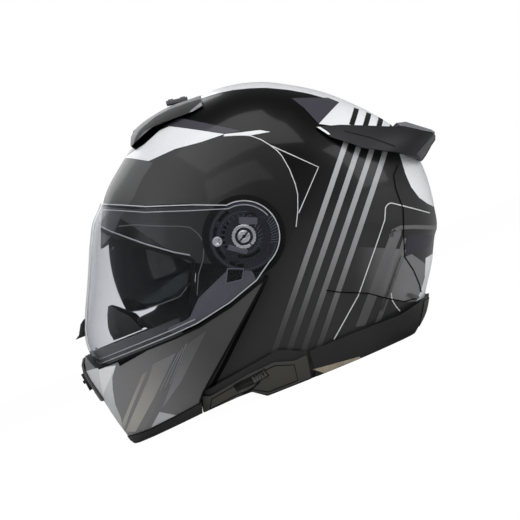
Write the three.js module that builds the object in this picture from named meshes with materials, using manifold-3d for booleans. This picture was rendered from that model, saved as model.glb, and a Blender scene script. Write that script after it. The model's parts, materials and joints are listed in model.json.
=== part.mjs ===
// A flip-up motorcycle helmet standing on its lower rim, in millimetres.
// The face looks along -Y, the wearer's left is +X and +Z is up. The rim stands on z = 0. Every
// position below is measured from a point that the last lines move to the middle of the helmet.
//
// Every skin of the helmet (shell, visor, chin bar, linings) is a closed "orange peel" surface:
// a side outline given as radius against angle round a sideways axis, closed off to the left and
// right by a superellipse of the given half width. A piece is the layer between two such surfaces,
// trimmed by a flat outline drawn in the side view.
import * as THREE from 'three';
import { mergeVertices } from 'three/addons/utils/BufferGeometryUtils.js';
import Module from 'manifold-3d';

const wasm = await Module();
wasm.setup();

// ---------------------------------------------------------------- driving sizes
const GAP = 0.5;                          // clearance kept between neighbouring pieces
const BULGE = 2.4;                        // power of the superellipse that rounds the sides
const AROUND = 48;                        // facets round the side outline
const ACROSS = 16;                        // facets from the left side to the right side
const FAR = 300;                          // longer than the helmet in any direction

const HINGE = { y: 3, z: 144 };           // sideways axis of the chin bar and the visor
const KNOB = { y: -7.6, z: 132.7 };       // middle of the round visor base
const SUN_AXIS = { y: 0, z: 127 };        // sideways axis of the inner sun visor

const SHELL_WIDTH = 121.5;                // half widths of the surfaces
const FRONT_WIDTH = 128;
const SUN_WIDTH = 116.5;
const FOAM_WIDTH = 112.5;
const HEAD_WIDTH = 87;
const CHEEK_WIDTH = 62;

const SHELL_THICK = 3.6;
const CHIN_THICK = 4;
const VISOR_THICK = 2;
const SKIRT_THICK = 3.2;
const RIM_Z = 0;                          // lowest level of shell and skirts
const CHIN_Z = 1.2;                       // the chin bar stays clear of the table

// ---------------------------------------------------------------- side outlines, [degrees, radius]
// Angles run from the rear (0) over the crown (90) and the face (180) to the neck (270).
const SHELL_OUTLINE = [
  [0, 156.5], [11, 150], [20, 142], [30, 134.2], [50, 124.7], [65, 122], [80, 119.8],
  [92, 118], [105, 118.5], [118, 121], [127, 122.7], [137, 125], [146, 129], [151, 130.6],
  [160, 131.5], [170, 135], [180, 145], [195, 166], [205, 184], [215, 197], [225, 203],
  [240, 205], [255, 205], [270, 202], [285, 190], [296, 174], [304, 170.5], [311, 169],
  [317, 164.5], [325, 162.6], [333, 161.4], [337, 163.2], [343, 161], [350, 159.4],
];
// The visor, from its top edge down to the chin; the rest only closes the surface.
const VISOR_OUTLINE = [
  [0, 160], [60, 128], [130, 124], [148, 132.3], [153.7, 134.2], [159, 139.2], [165, 142.2],
  [173.4, 147.8], [181, 156.2], [188.3, 168.5], [191.5, 175], [196.4, 182], [201, 184.5],
  [207, 190], [220, 204], [240, 212], [270, 208], [310, 175],
];
const CHIN_OUTLINE = [
  [0, 160], [60, 130], [130, 126], [160, 139], [181, 156], [192, 174], [196.4, 184],
  [198.2, 191.5], [200.4, 196.5], [204, 199.6], [207.2, 202.2], [210.1, 205.2], [217.5, 215.6],
  [220, 219.5], [223, 219], [232, 216], [243, 213], [255, 211], [270, 208], [310, 175],
];
const SPOILER_OUTLINE = [
  [0, 172], [3.6, 179], [8, 178], [15, 165], [25, 146], [33, 137], [42, 129.6], [60, 119],
  [90, 112], [180, 130], [270, 150], [330, 150], [350, 158], [357, 161.5],
];
const VENT_OUTLINE = [
  [0, 150], [60, 116], [85, 116.5], [90, 118.6], [96, 120], [104.8, 123.8], [110.7, 126.2],
  [118.5, 129.4], [123, 129.6], [130, 124], [140, 120], [180, 130], [270, 190],
];
// The hollow for the head, and the narrower hollow between the cheek pads.
const HEAD_OUTLINE = [
  [0, 111], [30, 99], [60, 90], [90, 86], [120, 89], [150, 96], [180, 103], [200, 130],
  [225, 175], [270, 195], [310, 160], [335, 125],
];
const SUN_RADIUS = 128.6;                 // the sun visor is round about its own axis
const SUN_OUTLINE = [[0, SUN_RADIUS], [180, SUN_RADIUS]];
const SUN_ROOM = [
  [0, 190], [60, 165], [84, 124.5], [100, 124.5], [130, 124.5], [180, 124.5], [215, 124.5],
  [240, 165], [280, 190],
];

// ---------------------------------------------------------------- flat outlines in the side view, [y, z]
// Front of the head opening: brow edge, temple, then down to the rim.
const FACE_OPENING = [
  [-FAR, 201.5], [-135, 201.5], [-127, 194], [-112, 178.4], [-88, 157.4], [-68, 142],
  [-56, 134.5], [-52.5, 129.5], [-57.5, 117], [-66, 100], [-76, 78], [-86, 50], [-97, 0],
  [-97, -FAR], [-FAR, -FAR],
];
// The front lower corner of the shell stops at the lower edge of the side skirts.
const SHELL_FOOT = [
  [-FAR, -10], [-38.5, -10], [-38.5, 0.8], [-49.5, 9], [-63.5, 9.1], [-95.4, 7.1], [-FAR, 7.1],
];
const VISOR_DISC = 30.6;                  // radius of the round part of the visor
const VISOR_TOP = [[-FAR, 300], [-113, 206.5], [-75.3, 187.8], [-38.1, 174.2]];
const VISOR_LOW = [[-11.3, 94], [-39.2, 85], [-70.9, 78.9], [-94, 77.6], [-163, 76.6], [-169, 80],
  [-171.5, 90], [-FAR, 90]];
const CHIN_SIDE = [
  [-FAR, 88], [-174, 88], [-168, 74.6], [-94, 75.2], [-71.4, 76.4], [-40, 82.5], [-12, 91.4],
  [-0.9, 94], [-87.7, 22.5], [-93.6, 15.9], [-118, 12.6], [-145, 9.6], [-FAR, 9.6],
];
const CHIN_FLANGE = [[-FAR, 62], [-88, 62], [-84, 89.5], [-FAR, 89.5]];
const CHIN_LEDGE = [[-FAR, 64], [-90, 64], [-90, 73], [-FAR, 73]];
const CHIN_TRIM = [
  [-FAR, 9.1], [-145, 9.1], [-118, 12.1], [-94, 15.3], [-96.6, 6.5], [-140, CHIN_Z + 1.4],
  [-158, CHIN_Z], [-FAR, CHIN_Z],
];
const SKIRT_FRONT = [
  [-95.4, 6.3], [-86.6, 23.6], [-15.8, 33.3], [5.3, 23.2], [1.5, RIM_Z], [-39, RIM_Z],
  [-50, 8.2], [-63.5, 8.3],
];
const SKIRT_REAR = [
  [5.2, RIM_Z], [7.6, 22.4], [50.5, 22.5], [92.5, 21.4], [112, 25], [121.5, 27.1], [FAR, 27.1],
  [FAR, RIM_Z],
];
const SPOILER_SIDE = [
  [83.6, 196.7], [103.9, 190.8], [147.1, 172.5], [153.5, 171], [180.9, 153.8], [184, 153],
  [180.5, 151.1], [172.5, 146.4], [164.8, 140.1], [159.5, 136.9], [146.5, 147.6],
  [138.7, 151.9], [113.7, 165.2], [105.8, 172.4], [91.8, 183.9],
];
const SPOILER_CAP = [[151, 176.4], [159.6, 174.2], [181.5, 156.6], [180, 155], [153.8, 171.6]];
const VENT_SIDE = [
  [-70.5, 241.6], [-45.8, 249.9], [-13, 249.1], [5.5, 255], [14, 256.8], [14, 290],
  [-62, 290], [-65, 255.4],
];
const SUN_LENS = [
  [-140, 110], [-127.5, 110], [-110.7, 106.2], [-77, 105.1], [-68, 111], [-63, 119], [-58, 123],
  [-3, 120], [-3, 134.5], [-48, 146], [-60, 154], [-84, 175], [-104, 194], [-112, 206],
  [-170, 206],
];
const DEFLECTOR_SIDE = [[-FAR, 91.4], [-118, 91.4], [-124, 106], [-139, 121], [-FAR, 121]];
const CHEEK_SIDE = [
  [-80, 24], [-70, 76], [-52, 100], [-20, 112], [4, 108], [12, 80], [14, 36], [0, 22], [-40, 19],
  [-66, 20],
];
const CHEEK_FRONT_WIDTH = 80.5;            // the pads reach forward beside the mouth
const CHEEK_FRONT_THICK = 24;
const CHEEK_FRONT = [
  [-104, 80], [-113, 88], [-121, 97], [-122, 103], [-104, 103.5], [-92, 111], [-66, 115],
  [-58, 108], [-60, 90], [-66, 74], [-90, 74],
];

// ---------------------------------------------------------------- finishes
const FINISH = {
  paint: { color: 0x17181b, roughness: 0.22, metalness: 0.1 },
  greyPaint: { color: 0x8a8b90, roughness: 0.45, metalness: 0.1 },
  satin: { color: 0x2b2c30, roughness: 0.5, metalness: 0.0 },
  trim: { color: 0x1d1d1f, roughness: 0.7, metalness: 0.0 },
  rubber: { color: 0x101011, roughness: 0.9, metalness: 0.0 },
  clear: { color: 0xd5d9dd, roughness: 0.05, metalness: 0.0, transparent: true, opacity: 0.28 },
  smoke: { color: 0x2a2a2f, roughness: 0.08, metalness: 0.0, transparent: true, opacity: 0.8 },
  foam: { color: 0x26262a, roughness: 0.95, metalness: 0.0 },
  fabric: { color: 0x202023, roughness: 1.0, metalness: 0.0 },
  beige: { color: 0x9a8d79, roughness: 1.0, metalness: 0.0 },
  steel: { color: 0xb9bcc2, roughness: 0.3, metalness: 0.9 },
  red: { color: 0x9c1c1c, roughness: 0.5, metalness: 0.0 },
};

// ---------------------------------------------------------------- small geometry helpers
const helmet = new THREE.Group();
helmet.name = 'helmet';

function add(name, solid, finish) {
  const result = solid.getMesh();
  const geometry = new THREE.BufferGeometry();
  geometry.setAttribute('position', new THREE.BufferAttribute(result.vertProperties, 3));
  geometry.setIndex(new THREE.BufferAttribute(result.triVerts, 1));
  geometry.computeVertexNormals();
  const mesh = new THREE.Mesh(geometry, new THREE.MeshStandardMaterial(FINISH[finish]));
  mesh.name = name;
  helmet.add(mesh);
}

function solidOf(geometry) {
  geometry.deleteAttribute('normal');
  geometry.deleteAttribute('uv');
  const clean = mergeVertices(geometry, 1e-4);
  return new wasm.Manifold(new wasm.Mesh({
    numProp: 3,
    vertProperties: new Float32Array(clean.attributes.position.array),
    triVerts: new Uint32Array(clean.index.array),
  }));
}

// Radius of a side outline at an angle, smoothly joined through its points.
function radiusAt(outline, degrees) {
  const count = outline.length;
  const angle = ((degrees % 360) + 360) % 360;
  let low = count - 1;
  for (let i = 0; i < count; i += 1) {
    if (outline[i][0] <= angle) {
      low = i;
    }
  }
  const point = (i) => {
    const turn = Math.floor(i / count);
    const [a, r] = outline[i - turn * count];
    return [a + 360 * turn, r];
  };
  const [a0, r0] = point(low - 1);
  const [a1, r1] = point(low);
  const [a2, r2] = point(low + 1);
  const [a3, r3] = point(low + 2);
  const step = a2 - a1;
  const t = (angle - a1) / step;
  const startSlope = ((r2 - r0) / (a2 - a0)) * step;
  const endSlope = ((r3 - r1) / (a3 - a1)) * step;
  return (
    (2 * t ** 3 - 3 * t ** 2 + 1) * r1 + (t ** 3 - 2 * t ** 2 + t) * startSlope
    + (3 * t ** 2 - 2 * t ** 3) * r2 + (t ** 3 - t ** 2) * endSlope
  );
}

// Closed surface from a side outline and a half width, both grown by `grow`.
function peel(outline, halfWidth, grow = 0, axis = HINGE, around = AROUND, across = ACROSS) {
  const positions = [];
  const indices = [];
  const width = halfWidth + grow;
  positions.push(-width, axis.y, axis.z);
  for (let i = 1; i < across; i += 1) {
    const lean = -Math.PI / 2 + (Math.PI * i) / across;
    const x = width * Math.sign(Math.sin(lean)) * Math.abs(Math.sin(lean)) ** (2 / BULGE);
    const reach = Math.cos(lean) ** (2 / BULGE);
    for (let j = 0; j < around; j += 1) {
      const angle = (2 * Math.PI * j) / around;
      const radius = (radiusAt(outline, (360 * j) / around) + grow) * reach;
      positions.push(x, axis.y + radius * Math.cos(angle), axis.z + radius * Math.sin(angle));
    }
  }
  positions.push(width, axis.y, axis.z);
  const last = positions.length / 3 - 1;
  for (let j = 0; j < around; j += 1) {
    const next = (j + 1) % around;
    indices.push(0, 1 + next, 1 + j);
    indices.push(last, last - around + j, last - around + next);
    for (let i = 0; i < across - 2; i += 1) {
      const row = 1 + i * around;
      indices.push(row + j, row + next, row + around + j);
      indices.push(row + next, row + around + next, row + around + j);
    }
  }
  const geometry = new THREE.BufferGeometry();
  geometry.setAttribute('position', new THREE.Float32BufferAttribute(positions, 3));
  geometry.setIndex(indices);
  return solidOf(geometry);
}

// Layer between two grown copies of one surface.
function layer(outline, halfWidth, outer, inner, axis = HINGE, around = AROUND, across = ACROSS) {
  const outside = peel(outline, halfWidth, outer, axis, around, across);
  return outside.subtract(peel(outline, halfWidth, inner, axis, around, across));
}

// Side-view outline pushed along X from x = from to x = to.
function slab(points, from = -FAR, to = FAR) {
  const shape = new THREE.Shape(points.map(([y, z]) => new THREE.Vector2(y, z)));
  const geometry = new THREE.ExtrudeGeometry(shape, { depth: to - from, bevelEnabled: false });
  const turn = new THREE.Matrix4().makeBasis(
    new THREE.Vector3(0, 1, 0), new THREE.Vector3(0, 0, 1), new THREE.Vector3(1, 0, 0),
  );
  geometry.applyMatrix4(turn);
  geometry.translate(from, 0, 0);
  return solidOf(geometry);
}

function box(width, depth, height, x, y, z, tilt = 0) {
  const geometry = new THREE.BoxGeometry(width, depth, height);
  geometry.rotateX(tilt);
  geometry.translate(x, y, z);
  return solidOf(geometry);
}

// Round bar along X, from x = from to x = to, centred on a point of the side view.
function bar(radius, from, to, centre, facets = 32) {
  const geometry = new THREE.CylinderGeometry(radius, radius, to - from, facets);
  geometry.rotateZ(Math.PI / 2);
  geometry.translate((from + to) / 2, centre.y, centre.z);
  return solidOf(geometry);
}

// The same outline moved outwards (positive) or inwards (negative) by a distance.
function offsetOutline(points, distance) {
  const area = points.reduce((sum, [y, z], i) => {
    const [nextY, nextZ] = points[(i + 1) % points.length];
    return sum + (y * nextZ - nextY * z) / 2;
  }, 0);
  const side = Math.sign(area);
  return points.map(([y, z], i) => {
    const [py, pz] = points[(i + points.length - 1) % points.length];
    const [ny, nz] = points[(i + 1) % points.length];
    const before = new THREE.Vector2(y - py, z - pz).normalize();
    const after = new THREE.Vector2(ny - y, nz - z).normalize();
    const out = new THREE.Vector2(before.y + after.y, -before.x - after.x).normalize();
    const stretch = 1 / Math.max(0.5, out.dot(new THREE.Vector2(before.y, -before.x)));
    return [y + side * distance * stretch * out.x, z + side * distance * stretch * out.y];
  });
}

// Flat band through stations of { at: [x, y, z], across: [x, y, z] }, with a square section.
function band(stations, width, thickness) {
  const positions = [];
  const indices = [];
  stations.forEach(({ at, across }, i) => {
    const here = new THREE.Vector3(...at);
    const back = new THREE.Vector3(...stations[Math.max(0, i - 1)].at);
    const ahead = new THREE.Vector3(...stations[Math.min(stations.length - 1, i + 1)].at);
    const along = ahead.sub(back).normalize();
    const sideways = new THREE.Vector3(...across).normalize();
    sideways.addScaledVector(along, -sideways.dot(along)).normalize();
    const normal = along.clone().cross(sideways);
    for (const [u, v] of [[-1, -1], [1, -1], [1, 1], [-1, 1]]) {
      const corner = here.clone().addScaledVector(sideways, (u * width) / 2);
      corner.addScaledVector(normal, (v * thickness) / 2);
      positions.push(corner.x, corner.y, corner.z);
    }
  });
  const ends = positions.length / 3 - 4;
  for (let i = 0; i < stations.length - 1; i += 1) {
    for (let k = 0; k < 4; k += 1) {
      const a = 4 * i + k;
      const b = 4 * i + ((k + 1) % 4);
      indices.push(a, b, b + 4, a, b + 4, a + 4);
    }
  }
  indices.push(0, 2, 1, 0, 3, 2, ends, ends + 1, ends + 2, ends, ends + 2, ends + 3);
  const geometry = new THREE.BufferGeometry();
  geometry.setAttribute('position', new THREE.Float32BufferAttribute(positions, 3));
  geometry.setIndex(indices);
  return solidOf(geometry);
}

// Runs a maker for the wearer's left (+1) and right (-1).
function bothSides(make) {
  make('left', 1);
  make('right', -1);
}

// Everything on one side of the middle plane.
function half(side) {
  return box(FAR, 2 * FAR, 2 * FAR, (side * FAR) / 2 + side * 0.01, 0, 0);
}

const above = (z) => box(2 * FAR, 2 * FAR, FAR, 0, 0, z + FAR / 2);
const below = (z) => box(2 * FAR, 2 * FAR, FAR, 0, 0, z - FAR / 2);

// ---------------------------------------------------------------- shell and its trims
function buildShell() {
  const skin = layer(SHELL_OUTLINE, SHELL_WIDTH, 0, -SHELL_THICK);
  let shell = skin.subtract(slab(FACE_OPENING)).intersect(above(RIM_Z));
  shell = shell.subtract(slab(SHELL_FOOT));
  add('outer_shell', shell, 'paint');

  const lip = slab(offsetOutline(FACE_OPENING, -GAP));
  const hole = slab(offsetOutline(FACE_OPENING, -GAP - 3));
  const strip = layer(SHELL_OUTLINE, SHELL_WIDTH, 0.4, -SHELL_THICK - 1);
  add('eyeport_gasket', strip.intersect(lip).subtract(hole).intersect(above(20)), 'rubber');
}

function buildSkirts() {
  const trim = layer(SHELL_OUTLINE, SHELL_WIDTH, GAP + SKIRT_THICK, GAP);
  bothSides((name, side) => {
    let skirt = trim.intersect(slab(SKIRT_FRONT)).intersect(half(side));
    if (side > 0) {
      skirt = skirt.subtract(sliderRoom());
    }
    add(`side_skirt_${name}`, skirt, 'trim');
  });
  add('rear_skirt', trim.intersect(slab(SKIRT_REAR)), 'trim');

  const cap = layer(SHELL_OUTLINE, SHELL_WIDTH, GAP + 1.2, GAP);
  const pill = [[103.4, 34.4], [106, 35.6], [113.8, 29.6], [113.4, 27.9], [111, 27.9]];
  bothSides((name, side) => {
    add(`rear_exhaust_${name}`, cap.intersect(slab(pill)).intersect(half(side)), 'trim');
  });
}

// The lever that works the sun visor slides in a groove of the left side skirt.
const SLIDER = { y: -38, z: 17, length: 13, height: 7, travel: 16, lean: 0.11 };

function shellSide(y, z) {
  const radius = Math.hypot(y - HINGE.y, z - HINGE.z);
  const angle = (Math.atan2(z - HINGE.z, y - HINGE.y) * 180) / Math.PI;
  const reach = (radius / radiusAt(SHELL_OUTLINE, angle)) ** BULGE;
  return SHELL_WIDTH * (1 - reach) ** (1 / BULGE);
}

// Block lying along the groove: `length` long, `height` high, from `low` to `high` above the shell.
function grooveBlock(middle, length, height, low, high) {
  const start = SLIDER.y - SLIDER.travel;
  const rise = Math.tan(SLIDER.lean);
  const from = shellSide(start, SLIDER.z - SLIDER.travel * rise);
  const to = shellSide(SLIDER.y, SLIDER.z);
  const outward = Math.atan2(to - from, SLIDER.travel);
  const geometry = new THREE.BoxGeometry(high - low, length, height);
  geometry.translate((high + low) / 2, middle, 0);
  geometry.rotateX(SLIDER.lean);
  geometry.rotateZ(-outward);
  geometry.rotateY(-0.28);
  geometry.translate((from + to) / 2, SLIDER.y - SLIDER.travel / 2, SLIDER.z - 1);
  return solidOf(geometry);
}

function sliderRoom() {
  const run = SLIDER.length + SLIDER.travel + 2;
  return grooveBlock(0, run, SLIDER.height + 1, 2.4, 9);
}

function buildSunVisor() {
  const skin = layer(SUN_OUTLINE, SUN_WIDTH, 0, -VISOR_THICK, SUN_AXIS);
  const lens = skin.intersect(slab(SUN_LENS));
  const eye = skin.intersect(bar(9, -FAR, FAR, SUN_AXIS));
  add('sun_visor', lens.add(eye), 'smoke');

  const tab = grooveBlock(SLIDER.travel / 2, SLIDER.length, SLIDER.height, 3.2, 6.4);
  add('sun_visor_slider', tab, 'satin');
}

function buildSpoiler() {
  const shell = peel(SHELL_OUTLINE, SHELL_WIDTH, GAP);
  const wing = peel(SPOILER_OUTLINE, SHELL_WIDTH).subtract(shell).intersect(slab(SPOILER_SIDE));
  add('rear_spoiler', wing, 'satin');
  const cap = peel(SPOILER_OUTLINE, SHELL_WIDTH).subtract(shell);
  add('spoiler_cap', cap.intersect(slab(offsetOutline(SPOILER_CAP, -0.2), -38, 38)), 'greyPaint');
}

// Top vent housing with a ridged slider in a flat seat.
const VENT_SLIDE = { y: -18.5, z: 263.4, length: 19, width: 24, travel: 5, slope: -0.163 };

function buildTopVent() {
  const shell = peel(SHELL_OUTLINE, SHELL_WIDTH, GAP);
  const { y, z, length, width, travel, slope } = VENT_SLIDE;
  const tilt = Math.atan(slope);
  const depth = 10;
  const seatY = y + travel / 2 - depth * Math.sin(tilt);
  const seatZ = z + (slope * travel) / 2 + depth * Math.cos(tilt);
  const seat = box(width + 1.2, length + travel + 1.6, 2 * depth, 0, seatY, seatZ, tilt);
  const mouth = slab([[-90, 246.5], [-56, 251], [-56, 254.8], [-90, 254.8]], -30, 30);
  let housing = peel(VENT_OUTLINE, SHELL_WIDTH).subtract(shell).intersect(slab(VENT_SIDE));
  housing = housing.subtract(seat).subtract(mouth);
  add('top_vent', housing, 'satin');

  const base = box(width, length, 2.4, 0, y, z + 1.7, tilt);
  const front = box(width - 2, 4.5, 3, 0, y - 5, z + 4.6, tilt);
  const rear = box(width - 2, 4.5, 3, 0, y + 5.6, z + 2.7, tilt);
  add('top_vent_slider', base.add(front).add(rear), 'trim');
}

// ---------------------------------------------------------------- pieces that flip up
function buildVisor() {
  const rim = [];
  for (let step = 0; step <= 24; step += 1) {
    const angle = THREE.MathUtils.degToRad(97 - (162 * step) / 24);
    rim.push([KNOB.y + VISOR_DISC * Math.cos(angle), KNOB.z + VISOR_DISC * Math.sin(angle)]);
  }
  const outline = [...VISOR_TOP, ...rim, ...VISOR_LOW];
  const skin = layer(VISOR_OUTLINE, FRONT_WIDTH, 0, -VISOR_THICK);
  add('visor', skin.intersect(slab(outline)), 'clear');

  const tab = [[-165.5, 118.3], [-169.6, 115.3], [-174.4, 107], [-178.7, 104.3], [-160, 104.3],
    [-160, 118.3]];
  const outside = peel(VISOR_OUTLINE, FRONT_WIDTH, GAP);
  add('visor_tab', slab(tab, -9, 9).subtract(outside), 'trim');
}

function buildChinBar() {
  const skin = layer(CHIN_OUTLINE, FRONT_WIDTH, 0, -CHIN_THICK).intersect(slab(CHIN_SIDE));
  const flange = layer(VISOR_OUTLINE, FRONT_WIDTH, -VISOR_THICK - 1.2, -VISOR_THICK - 5);
  const ledge = peel(CHIN_OUTLINE, FRONT_WIDTH, -2).subtract(
    peel(VISOR_OUTLINE, FRONT_WIDTH, -VISOR_THICK - 4.5),
  );
  let chin = skin.add(flange.intersect(slab(CHIN_FLANGE)));
  chin = chin.add(ledge.intersect(slab(CHIN_LEDGE)));
  const window = slab([[-FAR, 55], [-150, 55], [-150, 74], [-FAR, 74]], -20, 20);
  chin = chin.subtract(window);
  add('chin_bar', chin, 'greyPaint');

  const trim = layer(CHIN_OUTLINE, FRONT_WIDTH, 0.8, -CHIN_THICK - 1).intersect(slab(CHIN_TRIM));
  const floor = peel(CHIN_OUTLINE, FRONT_WIDTH, -1).intersect(
    slab([[-FAR, CHIN_Z], [-139, CHIN_Z + 1.5], [-139, CHIN_Z + 4.5], [-FAR, CHIN_Z + 4.5]]),
  );
  const hole = box(25, 9, 40, 0, -152, 0);
  add('chin_trim', trim.add(floor).subtract(hole), 'trim');
  add('release_button', box(24, 8, 6, 0, -152, CHIN_Z + 4.2), 'red');

  const lower = layer(CHIN_OUTLINE, FRONT_WIDTH, -CHIN_THICK - GAP, -26);
  const upper = layer(VISOR_OUTLINE, FRONT_WIDTH, -VISOR_THICK - 5 - GAP, -24);
  const lowerSide = slab([[-FAR, 16], [-104, 17], [-104, 61], [-FAR, 61]]);
  const upperSide = slab([[-FAR, 40], [-104, 40], [-104, 72], [-112, 86], [-FAR, 89]]);
  add('chin_foam', lower.intersect(lowerSide).add(upper.intersect(upperSide)), 'foam');
}

function buildChinVent() {
  const outside = layer(CHIN_OUTLINE, FRONT_WIDTH, 2.6, GAP);
  const face = [[-FAR, 46], [-FAR, 87], [-150, 87], [-150, 46]];
  const window = slab([[-FAR, 56], [-150, 56], [-150, 80], [-FAR, 80]], -22, 22);
  const frame = outside.intersect(slab(face, -32, 32)).subtract(window);
  add('chin_vent', frame, 'satin');
  const shutter = box(40, 2, 16, 0, -182.8, 66.5, 0.12);
  const rib = box(26, 2.4, 3, 0, -184.6, 67, 0.12);
  add('chin_vent_slider', shutter.add(rib), 'trim');
}

function buildDeflector() {
  const skin = layer(VISOR_OUTLINE, FRONT_WIDTH, -24, -26.4);
  const shape = skin.intersect(slab(DEFLECTOR_SIDE));
  const trimmed = shape.intersect(box(140, FAR, 60, 0, -FAR / 2, 108));
  add('breath_deflector', trimmed, 'rubber');
}

function buildPivots() {
  const plateSkin = layer(CHIN_OUTLINE, FRONT_WIDTH, -4.6, -5.8);
  bothSides((name, side) => {
    const at = (radius, from, to, centre, facets) => (
      side > 0 ? bar(radius, from, to, centre, facets) : bar(radius, -to, -from, centre, facets)
    );
    let plate = plateSkin.intersect(at(29, 90, FAR, KNOB, 32));
    plate = plate.subtract(at(5.6, 90, FAR, HINGE));
    add(`pivot_plate_${name}`, plate, 'trim');
    add(`hinge_pin_${name}`, at(4.6, SHELL_WIDTH + GAP, 124.2, HINGE), 'steel');
    const ring = at(10.2, 123.8, 124.6, KNOB, 40).subtract(at(7.4, 90, FAR, KNOB));
    add(`pivot_ring_${name}`, ring, 'steel');
    const knob = at(5.4, 123.8, 124.9, KNOB).subtract(box(20, 1.4, 8, side * 134.4, KNOB.y, KNOB.z));
    add(`pivot_knob_${name}`, knob, 'steel');
    const screwAt = { y: -29.9, z: 136.8 };
    const screw = at(4.2, 122.9, 123.7, screwAt).subtract(at(1.8, 90, FAR, screwAt, 6));
    add(`pivot_screw_${name}`, screw, 'steel');
  });
}

// ---------------------------------------------------------------- linings
function buildLinings() {
  const foamOuter = peel(SHELL_OUTLINE, SHELL_WIDTH, -SHELL_THICK - GAP - 1, HINGE, 40, 14).intersect(
    peel(SUN_ROOM, FOAM_WIDTH, 0, SUN_AXIS, 40, 14),
  );
  const hollow = peel(HEAD_OUTLINE, HEAD_WIDTH, 0, HINGE, 32, 12);
  const opening = slab(offsetOutline(FACE_OPENING, 3));
  add('foam_liner', foamOuter.subtract(hollow).subtract(opening).intersect(above(42)), 'foam');

  const crown = layer(HEAD_OUTLINE, HEAD_WIDTH, -GAP, -8, HINGE, 32, 12);
  const crownSide = [[-78, 178], [-30, 128], [92, 118], [130, 118], [130, 240], [-90, 240]];
  add('crown_liner', crown.intersect(slab(crownSide)), 'fabric');

  const cheekRoom = peel(HEAD_OUTLINE, HEAD_WIDTH, -GAP, HINGE, 32, 12);
  const face = peel(HEAD_OUTLINE, CHEEK_WIDTH, 0, HINGE, 32, 12);
  const front = layer(
    VISOR_OUTLINE, CHEEK_FRONT_WIDTH, 0, -CHEEK_FRONT_THICK, HINGE, 32, 12,
  ).intersect(slab(CHEEK_FRONT));
  const pads = cheekRoom.subtract(face).intersect(slab(CHEEK_SIDE)).add(front);
  bothSides((name, side) => {
    add(`cheek_pad_${name}`, pads.intersect(half(side)), 'fabric');
  });

  const roll = layer(SHELL_OUTLINE, SHELL_WIDTH, -SHELL_THICK - 2, -24, HINGE, 36, 14);
  const rollSide = [[22, 1.5], [FAR, 1.5], [FAR, 30], [40, 30], [22, 24]];
  add('neck_roll', roll.intersect(slab(rollSide)), 'beige');
}

// ---------------------------------------------------------------- chin strap and ratchet buckle
const BUCKLE = { y: -34, z: 9 };

function buildStraps() {
  const stations = [
    { at: [80, 31, 84], across: [0, 1, 0] },
    { at: [77.5, 31, 62], across: [0, 1, 0] },
    { at: [72, 31, 41], across: [0, 1, 0] },
    { at: [63, 27, 25], across: [-0.3, 1, 0] },
    { at: [50, 14, 13], across: [-0.7, 0.8, 0] },
    { at: [36, -6, 8.5], across: [-0.8, 0.6, 0] },
    { at: [30, -20, 7.8], across: [-0.7, 0.7, 0] },
    { at: [23, BUCKLE.y, 7.6], across: [-0.1, 1, 0] },
    { at: [16.4, BUCKLE.y, 7.6], across: [0, 1, 0] },
  ];
  const strap = band(stations, 20, 1.8);
  add('chin_strap_left', strap, 'fabric');
  add('chin_strap_right', strap.mirror([1, 0, 0]), 'fabric');

  const base = box(30, 24, 1.6, 0, BUCKLE.y, BUCKLE.z - 2.4);
  const cheek = (y) => box(14, 1.6, 6, -6, BUCKLE.y + y, BUCKLE.z + 0.4);
  add('buckle_base', base.add(cheek(-11)).add(cheek(11)), 'steel');
  add('buckle_lever', box(24, 18, 1.8, 2, BUCKLE.y, BUCKLE.z + 1.6), 'red');
}

buildShell();
buildSkirts();
buildSunVisor();
buildSpoiler();
buildTopVent();
buildVisor();
buildChinBar();
buildChinVent();
buildDeflector();
buildPivots();
buildLinings();
buildStraps();

// The origin goes under the middle of the whole helmet.
const extent = new THREE.Box3().setFromObject(helmet);
const middle = (extent.min.y + extent.max.y) / 2;
helmet.children.forEach((mesh) => mesh.geometry.translate(0, -middle, 0));

export default helmet;
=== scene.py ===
# Looks of a flip-up motorcycle helmet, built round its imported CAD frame.
# Shapes are worked out in millimetres (face along -Y, wearer's left +X, up +Z, lower rim on
# z = 0), measured from the same point as in the CAD. When a mesh is made they are moved MIDDLE
# back, to the middle of the helmet, and scaled to metres.
import functools
import json
import math

import bpy
import numpy as np
from mathutils import Matrix, Vector


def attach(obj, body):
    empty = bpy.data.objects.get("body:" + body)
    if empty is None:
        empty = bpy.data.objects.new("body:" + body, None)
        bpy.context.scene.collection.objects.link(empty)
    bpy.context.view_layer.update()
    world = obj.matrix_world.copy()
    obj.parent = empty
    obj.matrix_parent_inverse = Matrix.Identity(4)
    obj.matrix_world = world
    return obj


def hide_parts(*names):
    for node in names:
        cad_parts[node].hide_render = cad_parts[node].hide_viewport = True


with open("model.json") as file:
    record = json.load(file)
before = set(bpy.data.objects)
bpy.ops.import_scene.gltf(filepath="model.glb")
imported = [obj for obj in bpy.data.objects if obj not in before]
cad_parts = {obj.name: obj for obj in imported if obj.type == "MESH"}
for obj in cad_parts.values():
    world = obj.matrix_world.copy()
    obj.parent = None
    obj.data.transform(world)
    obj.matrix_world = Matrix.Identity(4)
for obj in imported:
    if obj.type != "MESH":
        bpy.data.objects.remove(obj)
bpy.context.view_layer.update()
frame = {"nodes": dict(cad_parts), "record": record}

MM = 0.001
FAR = 300.0
MIDDLE = 3.87

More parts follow.
